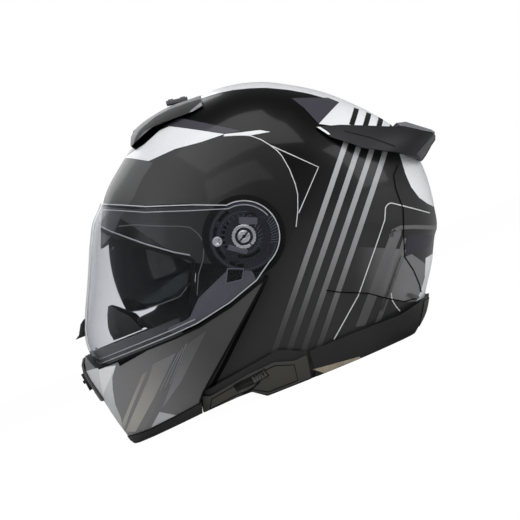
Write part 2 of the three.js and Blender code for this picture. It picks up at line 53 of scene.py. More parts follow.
# ------------------------------------------------------------------ sizes shared with the CAD
BULGE = 2.4
HINGE = (3.0, 144.0)
KNOB = (-7.6, 132.7)
SUN_AXIS = (0.0, 127.0)
SHELL_WIDTH, FRONT_WIDTH, SUN_WIDTH = 121.5, 128.0, 116.5
FOAM_WIDTH, HEAD_WIDTH, CHEEK_WIDTH = 112.5, 87.0, 62.0
SHELL_THICK, CHIN_THICK, VISOR_THICK, SKIRT_THICK = 3.6, 4.0, 2.0, 3.2
GAP = 0.5

# Side outlines as [degrees, radius] round the hinge: 0 rear, 90 crown, 180 face, 270 neck.
# The sun visor's outline and the room for it go round its own axis instead.
SHELL_OUTLINE = [
    [0, 156.5], [11, 150], [20, 142], [30, 134.2], [50, 124.7], [65, 122], [80, 119.8],
    [92, 118], [105, 118.5], [118, 121], [127, 122.7], [137, 125], [146, 129], [151, 130.6],
    [160, 131.5], [170, 135], [180, 145], [195, 166], [205, 184], [215, 197], [225, 203],
    [240, 205], [255, 205], [270, 202], [285, 190], [296, 174], [304, 170.5], [311, 169],
    [317, 164.5], [325, 162.6], [333, 161.4], [337, 163.2], [343, 161], [350, 159.4],
]
VISOR_OUTLINE = [
    [0, 160], [60, 128], [130, 124], [148, 132.3], [153.7, 134.2], [159, 139.2], [165, 142.2],
    [173.4, 147.8], [181, 156.2], [188.3, 168.5], [191.5, 175], [196.4, 182], [201, 184.5],
    [207, 190], [220, 204], [240, 212], [270, 208], [310, 175],
]
CHIN_OUTLINE = [
    [0, 160], [60, 130], [130, 126], [160, 139], [181, 156], [192, 174], [196.4, 184],
    [198.2, 191.5], [200.4, 196.5], [204, 199.6], [207.2, 202.2], [210.1, 205.2],
    [217.5, 215.6], [220, 219.5], [223, 219], [232, 216], [243, 213], [255, 211], [270, 208],
    [310, 175],
]
SPOILER_OUTLINE = [
    [0, 172], [3.6, 179], [8, 178], [15, 165], [25, 146], [33, 137], [42, 129.6], [60, 119],
    [90, 112], [180, 130], [270, 150], [330, 150], [350, 158], [357, 161.5],
]
VENT_OUTLINE = [
    [0, 150], [60, 116], [85, 116.5], [90, 118.6], [96, 120], [104.8, 123.8], [110.7, 126.2],
    [118.5, 129.4], [123, 129.6], [130, 124], [140, 120], [180, 130], [270, 190],
]
HEAD_OUTLINE = [
    [0, 111], [30, 99], [60, 90], [90, 86], [120, 89], [150, 96], [180, 103], [200, 130],
    [225, 175], [270, 195], [310, 160], [335, 125],
]
SUN_OUTLINE = [[0, 128.6], [180, 128.6]]
SUN_ROOM = [
    [0, 190], [60, 165], [84, 124.5], [100, 124.5], [130, 124.5], [180, 124.5], [215, 124.5],
    [240, 165], [280, 190],
]


# ------------------------------------------------------------------ surfaces
ANGLES = np.arange(0.0, 360.5, 0.5)
NUDGE = 0.6                                # degrees either way, to feel how an outline slopes


def smooth_table(outline):
    """Radius for every half degree, smoothly joined through the outline's points."""
    count = len(outline)

    def point(i):
        turn, k = divmod(i, count)
        return outline[k][0] + 360.0 * turn, outline[k][1]

    radii = []
    for angle in ANGLES:
        turn = angle % 360.0
        low = max([i for i in range(count) if outline[i][0] <= turn], default=count - 1)
        (a0, r0), (a1, r1), (a2, r2), (a3, r3) = [point(low + k) for k in (-1, 0, 1, 2)]
        step = a2 - a1
        t = (turn - a1) / step
        start, end = (r2 - r0) / (a2 - a0) * step, (r3 - r1) / (a3 - a1) * step
        radii.append((2 * t**3 - 3 * t**2 + 1) * r1 + (t**3 - 2 * t**2 + t) * start
                     + (3 * t**2 - 2 * t**3) * r2 + (t**3 - t**2) * end)
    return np.array(radii)


@functools.lru_cache(maxsize=None)
def net_faces(around, across):
    """Faces of a closed net of rings between two poles."""
    last = 1 + around * (across - 1)
    faces = []
    for j in range(around):
        after = (j + 1) % around
        faces.append((0, 1 + after, 1 + j))
        faces.append((last, last - around + j, last - around + after))
        for i in range(across - 2):
            row = 1 + i * around
            faces.append((row + j, row + after, row + around + after, row + around + j))
    return faces


class Surface:
    """Closed surface from a side outline and a half width, rounded by a superellipse."""

    def __init__(self, outline, width, axis=HINGE):
        self.table = smooth_table(outline)
        self.width = width
        self.axis = axis

    def radius(self, degrees):
        return np.interp(np.mod(degrees, 360.0), ANGLES, self.table)

    def grid(self, grow, around, across):
        """Points and faces of the closed surface, grown outwards by grow."""
        angle = np.linspace(0, 2 * np.pi, around, endpoint=False)
        radius = self.radius(np.degrees(angle)) + grow
        width = self.width + grow
        rows = [np.array([[-width, *self.axis]])]
        for i in range(1, across):
            lean = -np.pi / 2 + np.pi * i / across
            x = width * np.sign(np.sin(lean)) * abs(np.sin(lean)) ** (2 / BULGE)
            reach = radius * np.cos(lean) ** (2 / BULGE)
            rows.append(np.stack([np.full(around, x), self.axis[0] + reach * np.cos(angle),
                                  self.axis[1] + reach * np.sin(angle)], axis=1))
        rows.append(np.array([[width, *self.axis]]))
        return np.concatenate(rows), net_faces(around, across)

    def normals(self, points):
        """Outward unit normals at points on or near the surface."""
        x, y, z = points[:, 0], points[:, 1] - self.axis[0], points[:, 2] - self.axis[1]
        r = np.maximum(np.hypot(y, z), 1e-6)
        degrees = np.degrees(np.arctan2(z, y))
        limit = self.radius(degrees)
        change = self.radius(degrees + NUDGE) - self.radius(degrees - NUDGE)
        slope = np.degrees(change) / (2 * NUDGE)
        sides = np.sign(x) * np.abs(x) ** (BULGE - 1) / self.width**BULGE
        outward = r ** (BULGE - 1) / limit**BULGE
        turning = -(r**BULGE) / limit ** (BULGE + 1) * slope / r
        normal = np.stack([sides, outward * y / r - turning * z / r,
                           outward * z / r + turning * y / r], axis=1)
        return normal / np.linalg.norm(normal, axis=1)[:, None]

    def side(self, y, z):
        """How far out (x) the left side of the surface is at a point of the side view."""
        dy, dz = y - self.axis[0], z - self.axis[1]
        limit = float(self.radius(math.degrees(math.atan2(dz, dy))))
        inside = max(0.0, 1 - (math.hypot(dy, dz) / limit) ** BULGE)
        return self.width * inside ** (1 / BULGE)


SHELL = Surface(SHELL_OUTLINE, SHELL_WIDTH)
VISOR = Surface(VISOR_OUTLINE, FRONT_WIDTH)
CHIN = Surface(CHIN_OUTLINE, FRONT_WIDTH)
SPOILER = Surface(SPOILER_OUTLINE, SHELL_WIDTH)
VENT = Surface(VENT_OUTLINE, SHELL_WIDTH)
HEAD = Surface(HEAD_OUTLINE, HEAD_WIDTH)
CHEEK = Surface(HEAD_OUTLINE, CHEEK_WIDTH)
SUN = Surface(SUN_OUTLINE, SUN_WIDTH, SUN_AXIS)
ROOM = Surface(SUN_ROOM, FOAM_WIDTH, SUN_AXIS)
FINE = (192, 96)                           # steps of a net round its axis and across
PLAIN = (96, 48)


# ------------------------------------------------------------------ mesh helpers
def place(point):
    """A drawn point in millimetres as a point of the scene in metres."""
    x, y, z = point
    return Vector((float(x), float(y) + MIDDLE, float(z))) * MM


def make_object(name, points, faces):
    """Mesh from drawn points."""
    mesh = bpy.data.meshes.new(name)
    mesh.from_pydata((np.array(points, float) + (0, MIDDLE, 0)) * MM, [], faces)
    mesh.update()
    obj = bpy.data.objects.new(name, mesh)
    bpy.context.scene.collection.objects.link(obj)
    return obj


@functools.lru_cache(maxsize=None)
def doubled_faces(around, across):
    """Faces of a net with a second net, turned inside out, inside it."""
    faces = net_faces(around, across)
    shift = 2 + around * (across - 1)
    return faces + [tuple(i + shift for i in reversed(face)) for face in faces]


def peel(surface, grow=0.0, detail=FINE):
    """Everything inside a surface grown outwards by grow."""
    return make_object("peel", *surface.grid(grow, *detail))


def layer(surface, outer, inner, detail=FINE):
    """Closed skin between two grown copies of one surface."""
    points, faces = surface.grid(outer, *detail)
    inside, _ = surface.grid(inner, *detail)
    points = np.concatenate([points, inside])
    return make_object("layer", points, doubled_faces(*detail))


def area(outline):
    following = outline[1:] + outline[:1]
    return sum(a[0] * b[1] - b[0] * a[1] for a, b in zip(outline, following)) / 2


def anticlockwise(outline):
    return outline if area(outline) > 0 else outline[::-1]


def slab(outlines, low=-FAR, high=FAR):
    """Side-view outlines pushed along X, as one object of closed blocks."""
    points, faces = [], []
    for outline in outlines:
        outline = anticlockwise([tuple(p) for p in outline])
        count, base = len(outline), len(points)
        points += [(low, y, z) for y, z in outline] + [(high, y, z) for y, z in outline]
        faces.append(tuple(base + i for i in reversed(range(count))))
        faces.append(tuple(base + count + i for i in range(count)))
        for i in range(count):
            j = (i + 1) % count
            faces.append((base + i, base + j, base + count + j, base + count + i))
    return make_object("slab", points, faces)


def offset(outline, distance):
    """The outline moved outwards (positive) or inwards (negative)."""
    side = 1 if area(outline) > 0 else -1
    moved = []
    for i, here in enumerate(outline):
        before = Vector(here) - Vector(outline[i - 1])
        after = Vector(outline[(i + 1) % len(outline)]) - Vector(here)
        before.normalize()
        after.normalize()
        out = Vector((before.y + after.y, -before.x - after.x)).normalized()
        stretch = 1 / max(0.5, out.dot(Vector((before.y, -before.x))))
        moved.append(tuple(Vector(here) + out * side * distance * stretch))
    return moved


CORNER_STEPS = 5
CORNER_SHARE = 0.45                        # most of an edge that the curve at one end takes


def rounded(outline, radius):
    """The outline with each corner turned into a short curve."""
    result = []
    for i, here in enumerate(outline):
        here, back, ahead = (Vector(outline[(i + k) % len(outline)]) for k in (0, -1, 1))
        reach_back = min(radius, (back - here).length * CORNER_SHARE)
        reach_ahead = min(radius, (ahead - here).length * CORNER_SHARE)
        start = here + (back - here).normalized() * reach_back
        end = here + (ahead - here).normalized() * reach_ahead
        for k in range(CORNER_STEPS + 1):
            t = k / CORNER_STEPS
            result.append(tuple((1 - t) ** 2 * start + 2 * t * (1 - t) * here + t * t * end))
    return result


def arc(centre, radius, start, end, steps):
    """Points of an arc in the side view, angles in degrees."""
    turns = [math.radians(start + (end - start) * k / steps) for k in range(steps + 1)]
    return [(centre[0] + radius * math.cos(t), centre[1] + radius * math.sin(t)) for t in turns]


def with_normals(path):
    """The points of an open side-view path, each with the direction to the path's left."""
    for i, here in enumerate(path):
        along = Vector(path[min(i + 1, len(path) - 1)]) - Vector(path[max(i - 1, 0)])
        along.normalize()
        yield here, Vector((-along.y, along.x))


def offset_path(path, distance):
    """An open path moved sideways, to the left of its direction when positive."""
    return [(here[0] + left.x * distance, here[1] + left.y * distance)
            for here, left in with_normals(path)]


def stroke(path, width):
    """Outline of a line of even width along a side-view path."""
    sides = [(Vector(here), left * width / 2) for here, left in with_normals(path)]
    there = [tuple(here + half) for here, half in sides]
    return there + [tuple(here - half) for here, half in reversed(sides)]


def remove(obj):
    mesh = obj.data
    bpy.data.objects.remove(obj)
    bpy.data.meshes.remove(mesh)


def bake_modifiers(obj):
    """Makes what the modifiers do part of the mesh."""
    depsgraph = bpy.context.evaluated_depsgraph_get()
    mesh = bpy.data.meshes.new_from_object(obj.evaluated_get(depsgraph))
    obj.modifiers.clear()
    old, obj.data = obj.data, mesh
    bpy.data.meshes.remove(old)


def combine(target, tool, how):
    """Changes the target by a boolean with the tool, which is used up."""
    boolean = target.modifiers.new("boolean", "BOOLEAN")
    boolean.object, boolean.operation, boolean.solver = tool, how, "MANIFOLD"
    bake_modifiers(target)
    remove(tool)
    return target


cut = functools.partial(combine, how="DIFFERENCE")
keep = functools.partial(combine, how="INTERSECT")
join = functools.partial(combine, how="UNION")


def block(low, high):
    """Box between two corners."""
    (x0, y0, z0), (x1, y1, z1) = low, high
    return slab([[(y0, z0), (y1, z0), (y1, z1), (y0, z1)]], x0, x1)


def heights(low, high=FAR):
    """Everything between two heights."""
    return block((-FAR, -FAR, low), (FAR, FAR, high))


def bar(radius, low, high, centre):
    """Round bar along X."""
    steps = 64
    return slab([arc(centre, radius, 0, 360 - 360 / steps, steps - 1)], low, high)


FOLLOWS = 28.0                             # most degrees between a face and the surface it is on


def read(items, attribute, width, kind=np.float64):
    """An attribute of all vertices, corners or faces of a mesh, as an array of rows."""
    values = np.empty(len(items) * width, kind)
    items.foreach_get(attribute, values)
    return values.reshape(-1, width) if width > 1 else values


def tidy_normals(obj, surfaces):
    """Smooth shading that follows the given surfaces exactly and keeps cut edges crisp."""
    mesh = obj.data
    mesh.shade_smooth()
    corners = read(mesh.loops, "vertex_index", 1, np.int32)
    places = read(mesh.vertices, "co", 3)[corners] / MM - np.array([0, MIDDLE, 0])
    corner_counts = read(mesh.polygons, "loop_total", 1, np.int32)
    flat = np.repeat(read(mesh.polygons, "normal", 3), corner_counts, axis=0)
    best = flat.copy()
    score = np.full(len(flat), math.cos(math.radians(FOLLOWS)))
    for surface in surfaces:
        normal = surface.normals(places)
        for sign in (1, -1):
            match = (normal * sign * flat).sum(axis=1)
            better = match > score
            best[better] = normal[better] * sign
            score[better] = match[better]
    mesh.normals_split_custom_set(best.tolist())
    return obj


def round_edges(obj, width, limit=35):
    """Small bevel along the edges sharper than limit, in degrees."""
    bevel = obj.modifiers.new("edges", "BEVEL")
    bevel.width, bevel.segments = width * MM, 2
    bevel.limit_method, bevel.angle_limit = "ANGLE", math.radians(limit)
    bake_modifiers(obj)
    obj.data.shade_smooth()
    return obj


def finish_piece(obj, name, material, body, slot, replaces=()):
    """Names a piece, gives it its material and hangs it on its body."""
    obj.name = name
    obj.data.name = name
    obj.data.materials.clear()
    obj.data.materials.append(material)
    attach(obj, body)
    if replaces:
        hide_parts(*replaces)
    return obj


def skin(name, material, surface, outer, inner, outlines, low=-FAR, high=FAR, body="shell",
         slot="black_trim", replaces=(), edge=0.0, hole=None):
    """Finished part of a skin, inside some side-view outlines.

    edge rounds its edges; hole is a function that makes what is cut out last.
    """
    piece = layer(surface, outer, inner)
    keep(piece, slab(outlines, low, high))
    tidy_normals(piece, [surface])
    if edge:
        round_edges(piece, edge)
    if hole:
        cut(piece, hole())
    return finish_piece(piece, name, material, body, slot, replaces)


def carved(surface, grow, gap, outline, low=-FAR, high=FAR, holes=()):
    """What lies inside a surface and outside the shell, within a side-view outline."""
    piece = peel(surface, grow)
    cut(piece, peel(SHELL, gap))
    keep(piece, slab([outline], low, high))
    for hole in holes:
        cut(piece, hole)
    return tidy_normals(piece, [surface, SHELL])


def halves(near=0, far=FAR):
    """Name and X range of the same stretch on the left and on the right side."""
    return ("left", near, far), ("right", -far, -near)


# ------------------------------------------------------------------ material nodes
def add(tree, kind, inputs=(), **settings):
    """New shader node; an input given a socket is linked to it, any other is set."""
    node = tree.nodes.new("ShaderNode" + kind)
    for key, value in settings.items():
        setattr(node, key, value)
    for key, value in dict(inputs).items():
        if isinstance(value, bpy.types.NodeSocket):
            tree.links.new(value, node.inputs[key])
        else:
            node.inputs[key].default_value = value
    return node


def new_material(name, colour, roughness, **values):
    """Material, its node tree and its shader."""
    material = bpy.data.materials.new(name)
    material.use_nodes = True
    shader = material.node_tree.nodes["Principled BSDF"]
    shader.inputs["Base Color"].default_value = (*colour, 1)
    shader.inputs["Roughness"].default_value = roughness
    for key, value in values.items():
        shader.inputs[key.replace("_", " ")].default_value = value
    return material, material.node_tree, shader


def texture(tree, kind, scale, **values):
    """Texture node fed with object coordinates."""
    where = add(tree, "TexCoord").outputs["Object"]
    return add(tree, "Tex" + kind, {"Vector": where, "Scale": scale, **values})


def add_bump(tree, shader, height, strength, depth):
    """Bump that stands depth millimetres high."""
    bump = add(tree, "Bump", {"Height": height, "Strength": strength, "Distance": depth * MM})
    tree.links.new(bump.outputs["Normal"], shader.inputs["Normal"])


def mix_colours(tree, factor, first, second):
    """From the first colour at factor 0 to the second at 1."""
    colours = {0: factor, 6: (*first, 1), 7: (*second, 1)}
    return add(tree, "Mix", colours, data_type="RGBA").outputs[2]


def span(tree, source, low, high):
    """The source's 0 to 1 turned into low to high."""
    return add(tree, "MapRange", {"Value": source, "To Min": low, "To Max": high}).outputs[0]


# ------------------------------------------------------------------ camera, light and floor
LEAN = math.radians(21.74)                 # the camera is rolled, so that the chin hangs lowest
AIM = place((0.0, -2.4, 109.4))            # middle of the picture
DISTANCE = 2.6
FIELD = 0.4576                             # width of what the picture shows
SENSOR = 36
LIT_POINT = Vector((0, 0, 0.13))           # what the lights are turned to
FLOOR_REACH = 6000


def add_object(name, data, at, turn):
    obj = bpy.data.objects.new(name, data)
    obj.location = at
    obj.rotation_mode = "QUATERNION"
    obj.rotation_quaternion = turn
    bpy.context.scene.collection.objects.link(obj)
    return obj


def make_camera():
    data = bpy.data.cameras.new("camera")
    data.sensor_width = SENSOR
    data.lens = SENSOR * DISTANCE / FIELD
    data.clip_start, data.clip_end = 0.05, 50
    right = (0, math.cos(LEAN), -math.sin(LEAN))
    up = (0, math.sin(LEAN), math.cos(LEAN))
    back = (1, 0, 0)
    turn = Matrix((right, up, back)).transposed().to_quaternion()
    bpy.context.scene.camera = add_object("camera", data, AIM + Vector(back) * DISTANCE, turn)


def area_light(name, at, size, power):
    data = bpy.data.lights.new(name, "AREA")
    data.shape, data.size, data.size_y = "RECTANGLE", size[0], size[1]
    data.energy = power
    add_object(name, data, at, (LIT_POINT - Vector(at)).to_track_quat("-Z", "Y"))


def white_to_camera(tree, lit, seen, output):
    """Shows `seen` to the camera and `lit` to everything else."""
    ray = add(tree, "LightPath").outputs["Is Camera Ray"]
    mix = add(tree, "MixShader", {0: ray, 1: lit.outputs[0], 2: seen.outputs[0]})
    tree.links.new(mix.outputs[0], output.inputs[0])


def make_world():
    world = bpy.data.worlds.new("studio")
    bpy.context.scene.world = world
    world.use_nodes = True
    tree = world.node_tree
    tree.nodes.clear()
    seen = add(tree, "Background", {"Color": (1, 1, 1, 1)})
    lit = add(tree, "Background", {"Color": (0.94, 0.96, 1, 1), "Strength": 0.13})
    white_to_camera(tree, lit, seen, add(tree, "OutputWorld"))
    bpy.context.scene.view_settings.view_transform = "Standard"


def make_floor():
    corner = (FLOOR_REACH, FLOOR_REACH, -0.4)
    floor = block((-FLOOR_REACH, -FLOOR_REACH, -12), corner)
    floor.name = "studio_floor"
    material, tree, lit = new_material("floor_white", (0.5, 0.5, 0.5), 0.9)
    noise = add(tree, "TexNoise", {"Scale": 60})
    bump = add(tree, "Bump", {"Strength": 0.03, "Height": noise.outputs["Fac"]})
    tree.links.new(bump.outputs[0], lit.inputs["Normal"])
    seen = add(tree, "BsdfPrincipled", {
        "Base Color": (0.03, 0.03, 0.03, 1), "Roughness": 1, "Specular IOR Level": 0,
        "Emission Color": (1, 1, 1, 1), "Emission Strength": 0.985,
    })
    white_to_camera(tree, lit, seen, tree.nodes["Material Output"])
    floor.data.materials.append(material)


def make_lights():
    area_light("top_softbox", (0.9, 0.3, 2.2), (2.2, 1.8), 42)
    area_light("front_softbox", (1.1, -2.3, 1.0), (1.4, 1.8), 22)
    area_light("rear_softbox", (0.9, 2.2, 0.9), (1.2, 1.6), 22)
    area_light("low_fill", (1.8, -0.9, -1.3), (1.6, 1.0), 8)
    area_light("camera_fill", (3.2, 0.0, 1.7), (1.8, 1.0), 16)
    area_light("far_softbox", (-2.0, -0.6, 1.2), (1.4, 1.4), 14)


# ------------------------------------------------------------------ materials
WAVE_PITCH = 0.314                         # repeat of a wave texture of scale 1, in metres


def shades_of(colour, *factors):
    """The colour, darker or lighter by each factor."""
    return [tuple(min(1, c * factor) for c in colour) for factor in factors]


def moulded(name, colour, roughness, grain_scale, grain_depth, kind="Noise", **values):
    """Moulded plastic, rubber, foam or metal: fine grain, uneven colour and uneven gloss."""
    material, tree, shader = new_material(name, colour, sum(roughness) / 2, **values)
    grain = texture(tree, kind, grain_scale)
    height = grain.outputs["Fac" if kind == "Noise" else "Distance"]
    add_bump(tree, shader, height, 0.6, grain_depth)
    broad = texture(tree, "Noise", 14, Detail=5).outputs["Fac"]
    dark, light = shades_of(colour, 0.85, 1.15)
    tree.links.new(mix_colours(tree, broad, dark, light), shader.inputs["Base Color"])
    tree.links.new(span(tree, broad, *roughness), shader.inputs["Roughness"])
    return material


def along_line(tree, start, end):
    """0 at one drawn point, 1 at another, and smooth between them."""
    start, end = place(start), place(end)
    slope = (end - start) / (end - start).length_squared
    where = add(tree, "TexCoord").outputs["Object"]
    shift = add(tree, "VectorMath", {0: where, 1: start}, operation="SUBTRACT")
    part = add(tree, "VectorMath", {0: shift.outputs[0], 1: slope}, operation="DOT_PRODUCT")
    smooth = add(tree, "MapRange", {"Value": part.outputs["Value"]},
                 interpolation_type="SMOOTHSTEP")
    return smooth.outputs["Result"]


def paint(name, near, far=None, start=(0, 0, 0), end=(0, 0, 260), roughness=0.45, coat=0.2):
    """Lacquered paint, fading from one colour to another, with a fine metallic speckle."""
    material, tree, shader = new_material(name, near, roughness, Coat_Weight=coat,
                                          Coat_Roughness=0.08, Specular_IOR_Level=0.12)
    far = far or shades_of(near, 0.9)[0]
    shades = mix_colours(tree, along_line(tree, start, end), near, far)
    specks = span(tree, texture(tree, "Noise", 1100).outputs["Fac"], 0.85, 1.15)
    speckled = add(tree, "VectorMath", {0: shades, "Scale": specks}, operation="SCALE")
    tree.links.new(speckled.outputs[0], shader.inputs["Base Color"])
    add_bump(tree, shader, texture(tree, "Noise", 240).outputs["Fac"], 0.05, 0.05)
    return material


def lens(name, tint, gloss, least, most):
    """Moulded lens: light passes with a tint, and its surface shines most at a slant."""
    material, tree, shine = new_material(name, gloss, 0.04)
    haze = texture(tree, "Noise", 9).outputs["Fac"]
    shades = mix_colours(tree, haze, shades_of(tint, 0.94)[0], tint)
    clear = add(tree, "BsdfTransparent", {"Color": shades})
    slant = add(tree, "LayerWeight", {"Blend": 0.5}).outputs["Facing"]
    power = add(tree, "Math", {0: slant, 1: 3}, operation="POWER").outputs[0]
    mix = add(tree, "MixShader", {0: span(tree, power, least, most), 1: clear.outputs[0],
                                  2: shine.outputs[0]})
    tree.links.new(mix.outputs[0], tree.nodes["Material Output"].inputs["Surface"])
    return material


def woven(name, colour, pitch, depth, sheen):
    """Cloth with crossed threads of the given pitch in millimetres."""
    material, tree, shader = new_material(name, colour, 0.92, Sheen_Weight=sheen,
                                          Sheen_Roughness=0.45)
    crossed = add(tree, "Math", operation="MULTIPLY_ADD")
    for socket, direction in zip(crossed.inputs, "XYZ"):
        wave = texture(tree, "Wave", WAVE_PITCH / (pitch * MM), Distortion=0.6)
        wave.bands_direction = direction
        tree.links.new(wave.outputs["Fac"], socket)
    add_bump(tree, shader, crossed.outputs[0], 0.7, depth)
    broad = texture(tree, "Noise", 40).outputs["Fac"]
    dark, light = shades_of(colour, 0.7, 1.3)
    tree.links.new(mix_colours(tree, broad, dark, light), shader.inputs["Base Color"])
    return material


def grey(level):
    return (level, level, level * 1.02)


SHELL_BLACK = paint("shell_black", grey(0.001), grey(0.03), (0, 60, 190), (0, 110, 100),
                    roughness=0.35)
# Near-black paint used only as painted shade: on the shell's folds, beside the chin seam and
# under the visor's lower edge.
CREASE_SHADE = paint("painted_crease_shade", grey(0.002), roughness=0.9, coat=0)
# Painted lighter towards the lower rear: painted light where the lamps reach the white less.
WHITE = paint("paint_white", (0.7, 0.71, 0.73), (0.93, 0.94, 0.96), (0, 40, 200), (0, 110, 100),
              roughness=0.35)
BROW = paint("paint_brow", grey(0.085), grey(0.1), (0, -110, 195), (0, -85, 238), coat=0.1)
PANEL = paint("paint_panel", grey(0.06), grey(0.012), (0, -75, 200), (0, 25, 165),
              roughness=0.5, coat=0.1)
SLATE = paint("paint_slate", (0.036, 0.034, 0.046), (0.05, 0.048, 0.06))
LINE = paint("paint_line", grey(0.68))
# Used for the painted highlight on the eyeport's step.
SOFT_LINE = paint("paint_soft_line", grey(0.2))
DARK_LINE = paint("paint_dark_line", grey(0.012))
BANDS = paint("paint_bands", grey(0.16), grey(0.09), (0, 112, 90), (0, 70, 25))
REAR_LIGHT = paint("paint_rear_light", grey(0.03), grey(0.22), (0, 62, 68), (0, 116, 45))
# The chin's grey is painted lighter at the front as painted sheen, and darker towards the rear.
CHIN_GREY = paint("chin_grey", grey(0.21), grey(0.06), (0, -160, 30), (0, -60, 60),
                  coat=0.12)
# Paint for a painted lit facet on the chin, lighter at the top.
CHIN_LIT_FACET = paint("chin_light", grey(0.7), grey(0.5), (0, -170, 74), (0, -168, 14),
                   coat=0.12)
CHIN_BAND = paint("chin_band", (0.4, 0.385, 0.35), grey(0.17), (0, -160, 18), (0, -100, 62),
                  coat=0.12)
CHIN_SOFT = paint("chin_soft", grey(0.26), grey(0.09), (0, -135, 25), (0, -70, 70),
                  coat=0.12)
# Paint for a painted highlight on the chin.
CHIN_GLINT = paint("chin_glint", grey(0.85), grey(0.75), coat=0.12)
CHIN_PATCH = paint("chin_patch", grey(0.55), coat=0.12)
CHIN_RAY = paint("chin_ray", grey(0.3), coat=0.12)
TRIM = moulded("trim_black", grey(0.02), (0.5, 0.68), 1400, 0.06,
               Specular_IOR_Level=0.3)
TRIM_GREY = moulded("trim_grey", (0.056, 0.055, 0.048), (0.5, 0.68), 1400, 0.06,
                    Specular_IOR_Level=0.3)
SATIN = moulded("satin_grey", (0.013, 0.013, 0.016), (0.4, 0.52), 900, 0.02,
                Specular_IOR_Level=0.25)
VENT_TOP = moulded("vent_top", (0.1, 0.1, 0.108), (0.4, 0.5), 900, 0.02,
                   Specular_IOR_Level=0.3)
SATIN_LIGHT = moulded("satin_light", grey(0.07), (0.4, 0.5), 900, 0.02,
                      Specular_IOR_Level=0.3)
CAP = moulded("cap_grey", (0.26, 0.26, 0.285), (0.4, 0.5), 900, 0.02,
              Specular_IOR_Level=0.3)
RUBBER = moulded("rubber_black", grey(0.003), (0.6, 0.8), 700, 0.05,
                 Specular_IOR_Level=0.15)
FOAM = moulded("bead_foam", grey(0.012), (0.85, 0.95), 300, 0.12, kind="Voronoi")
STEEL = moulded("steel_satin", (0.8, 0.81, 0.83), (0.2, 0.35), 600, 0.02, Metallic=0.7)
RED = moulded("red_plastic", (0.35, 0.02, 0.02), (0.4, 0.55), 900, 0.03)
MECHANISM = moulded("pivot_black", (0.008, 0.007, 0.014), (0.3, 0.45), 900, 0.02)
TOOTHED = moulded("pivot_grey", (0.13, 0.13, 0.15), (0.3, 0.45), 900, 0.02)
PIVOT_LINE = moulded("pivot_line", (0.2, 0.2, 0.24), (0.35, 0.5), 900, 0.02)
MECHANISM_RIB = moulded("pivot_rib", (0.04, 0.042, 0.06), (0.3, 0.45), 900, 0.02)
RUBBER_GREY = moulded("rubber_grey", grey(0.025), (0.55, 0.75), 700, 0.05)
GLOSS_TRIM = moulded("trim_gloss", grey(0.008), (0.12, 0.2), 900, 0.01, Coat_Weight=0.8)
CLEAR = lens("lens_clear", (0.9, 0.905, 0.92), (0.4, 0.41, 0.44), 0.012, 0.35)
# Pale glossy lens strip for painted highlights along the clear visor's edges.
LENS_EDGE_HIGHLIGHT = lens("lens_edge_highlight", (0.85, 0.87, 0.9), (0.75, 0.77, 0.8), 0.5, 0.7)
SMOKE = lens("lens_smoked", (0.05, 0.075, 0.08), (0.02, 0.03, 0.034), 0.3, 0.5)
# Paler lens strips: a painted highlight on the smoked visor's lower edge and a painted glint
# across it.
SMOKE_EDGE_HIGHLIGHT = lens("lens_smoked_edge_highlight", (0.5, 0.52, 0.54), (0.35, 0.37, 0.39), 0.5, 0.6)
SMOKE_GLINT = lens("lens_smoked_glint", (0.75, 0.8, 0.82), (0.1, 0.12, 0.12), 0.35, 0.5)
KNIT = woven("lining_knit", grey(0.02), 1.1, 0.25, 0.4)
MESH_KNIT = woven("lining_mesh", grey(0.035), 2.2, 0.5, 0.2)
BEIGE = woven("neck_beige", (0.42, 0.36, 0.27), 0.9, 0.2, 0.3)
WEBBING = woven("strap_webbing", grey(0.013), 1.6, 0.4, 0.2)
SEWING = woven("sewing_thread", grey(0.09), 0.5, 0.1, 0.3)


# ------------------------------------------------------------------ flat outlines, side view
FACE_OPENING = [
    (-FAR, 201.5), (-135, 201.5), (-127, 194), (-112, 178.4), (-88, 157.4), (-68, 142),
    (-56, 134.5), (-52.5, 129.5), (-57.5, 117), (-66, 100), (-76, 78), (-86, 50), (-97, 0),
    (-97, -FAR), (-FAR, -FAR),
]
SHELL_FOOT = [(-FAR, -10), (-38.5, -10), (-38.5, 0.8), (-49.5, 9), (-63.5, 9.1), (-95.4, 7.1),
              (-FAR, 7.1)]
VISOR_DISC = 30.6
VISOR_TOP = [(-FAR, 300), (-113, 206.5), (-75.3, 187.8), (-38.1, 174.2)]
VISOR_LOW = [(-11.3, 94), (-39.2, 85), (-70.9, 78.9), (-94, 77.6), (-163, 76.6), (-169, 80),
             (-171.5, 90), (-FAR, 90)]
CHIN_SIDE = [
    (-FAR, 88), (-174, 88), (-168, 74.6), (-94, 75.2), (-71.4, 76.4), (-40, 82.5),
    (-12, 91.4), (-0.9, 94), (-87.7, 22.5), (-93.6, 15.9), (-118, 12.6), (-145, 9.6),
    (-FAR, 9.6),
]
CHIN_FLANGE = [(-FAR, 62), (-88, 62), (-84, 89.5), (-FAR, 89.5)]
CHIN_LEDGE = [(-FAR, 64), (-90, 64), (-90, 73), (-FAR, 73)]
CHIN_TRIM = [
    (-FAR, 9.1), (-145, 9.1), (-118, 12.1), (-93.2, 15.4), (-95.9, 6.6), (-140, 2.6),
    (-158, 1.2), (-FAR, 1.2),
]
SKIRT_FRONT = [
    (-95.4, 6.3), (-86.6, 23.6), (-15.8, 33.3), (5.3, 23.2), (1.5, 0), (-39, 0), (-50, 8.2),
    (-63.5, 8.3),
]
SKIRT_REAR = [
    (5.2, 0), (7.6, 22.4), (50.5, 22.5), (92.5, 21.4), (112, 25), (121.5, 27.1), (FAR, 27.1),
    (FAR, 0),
]
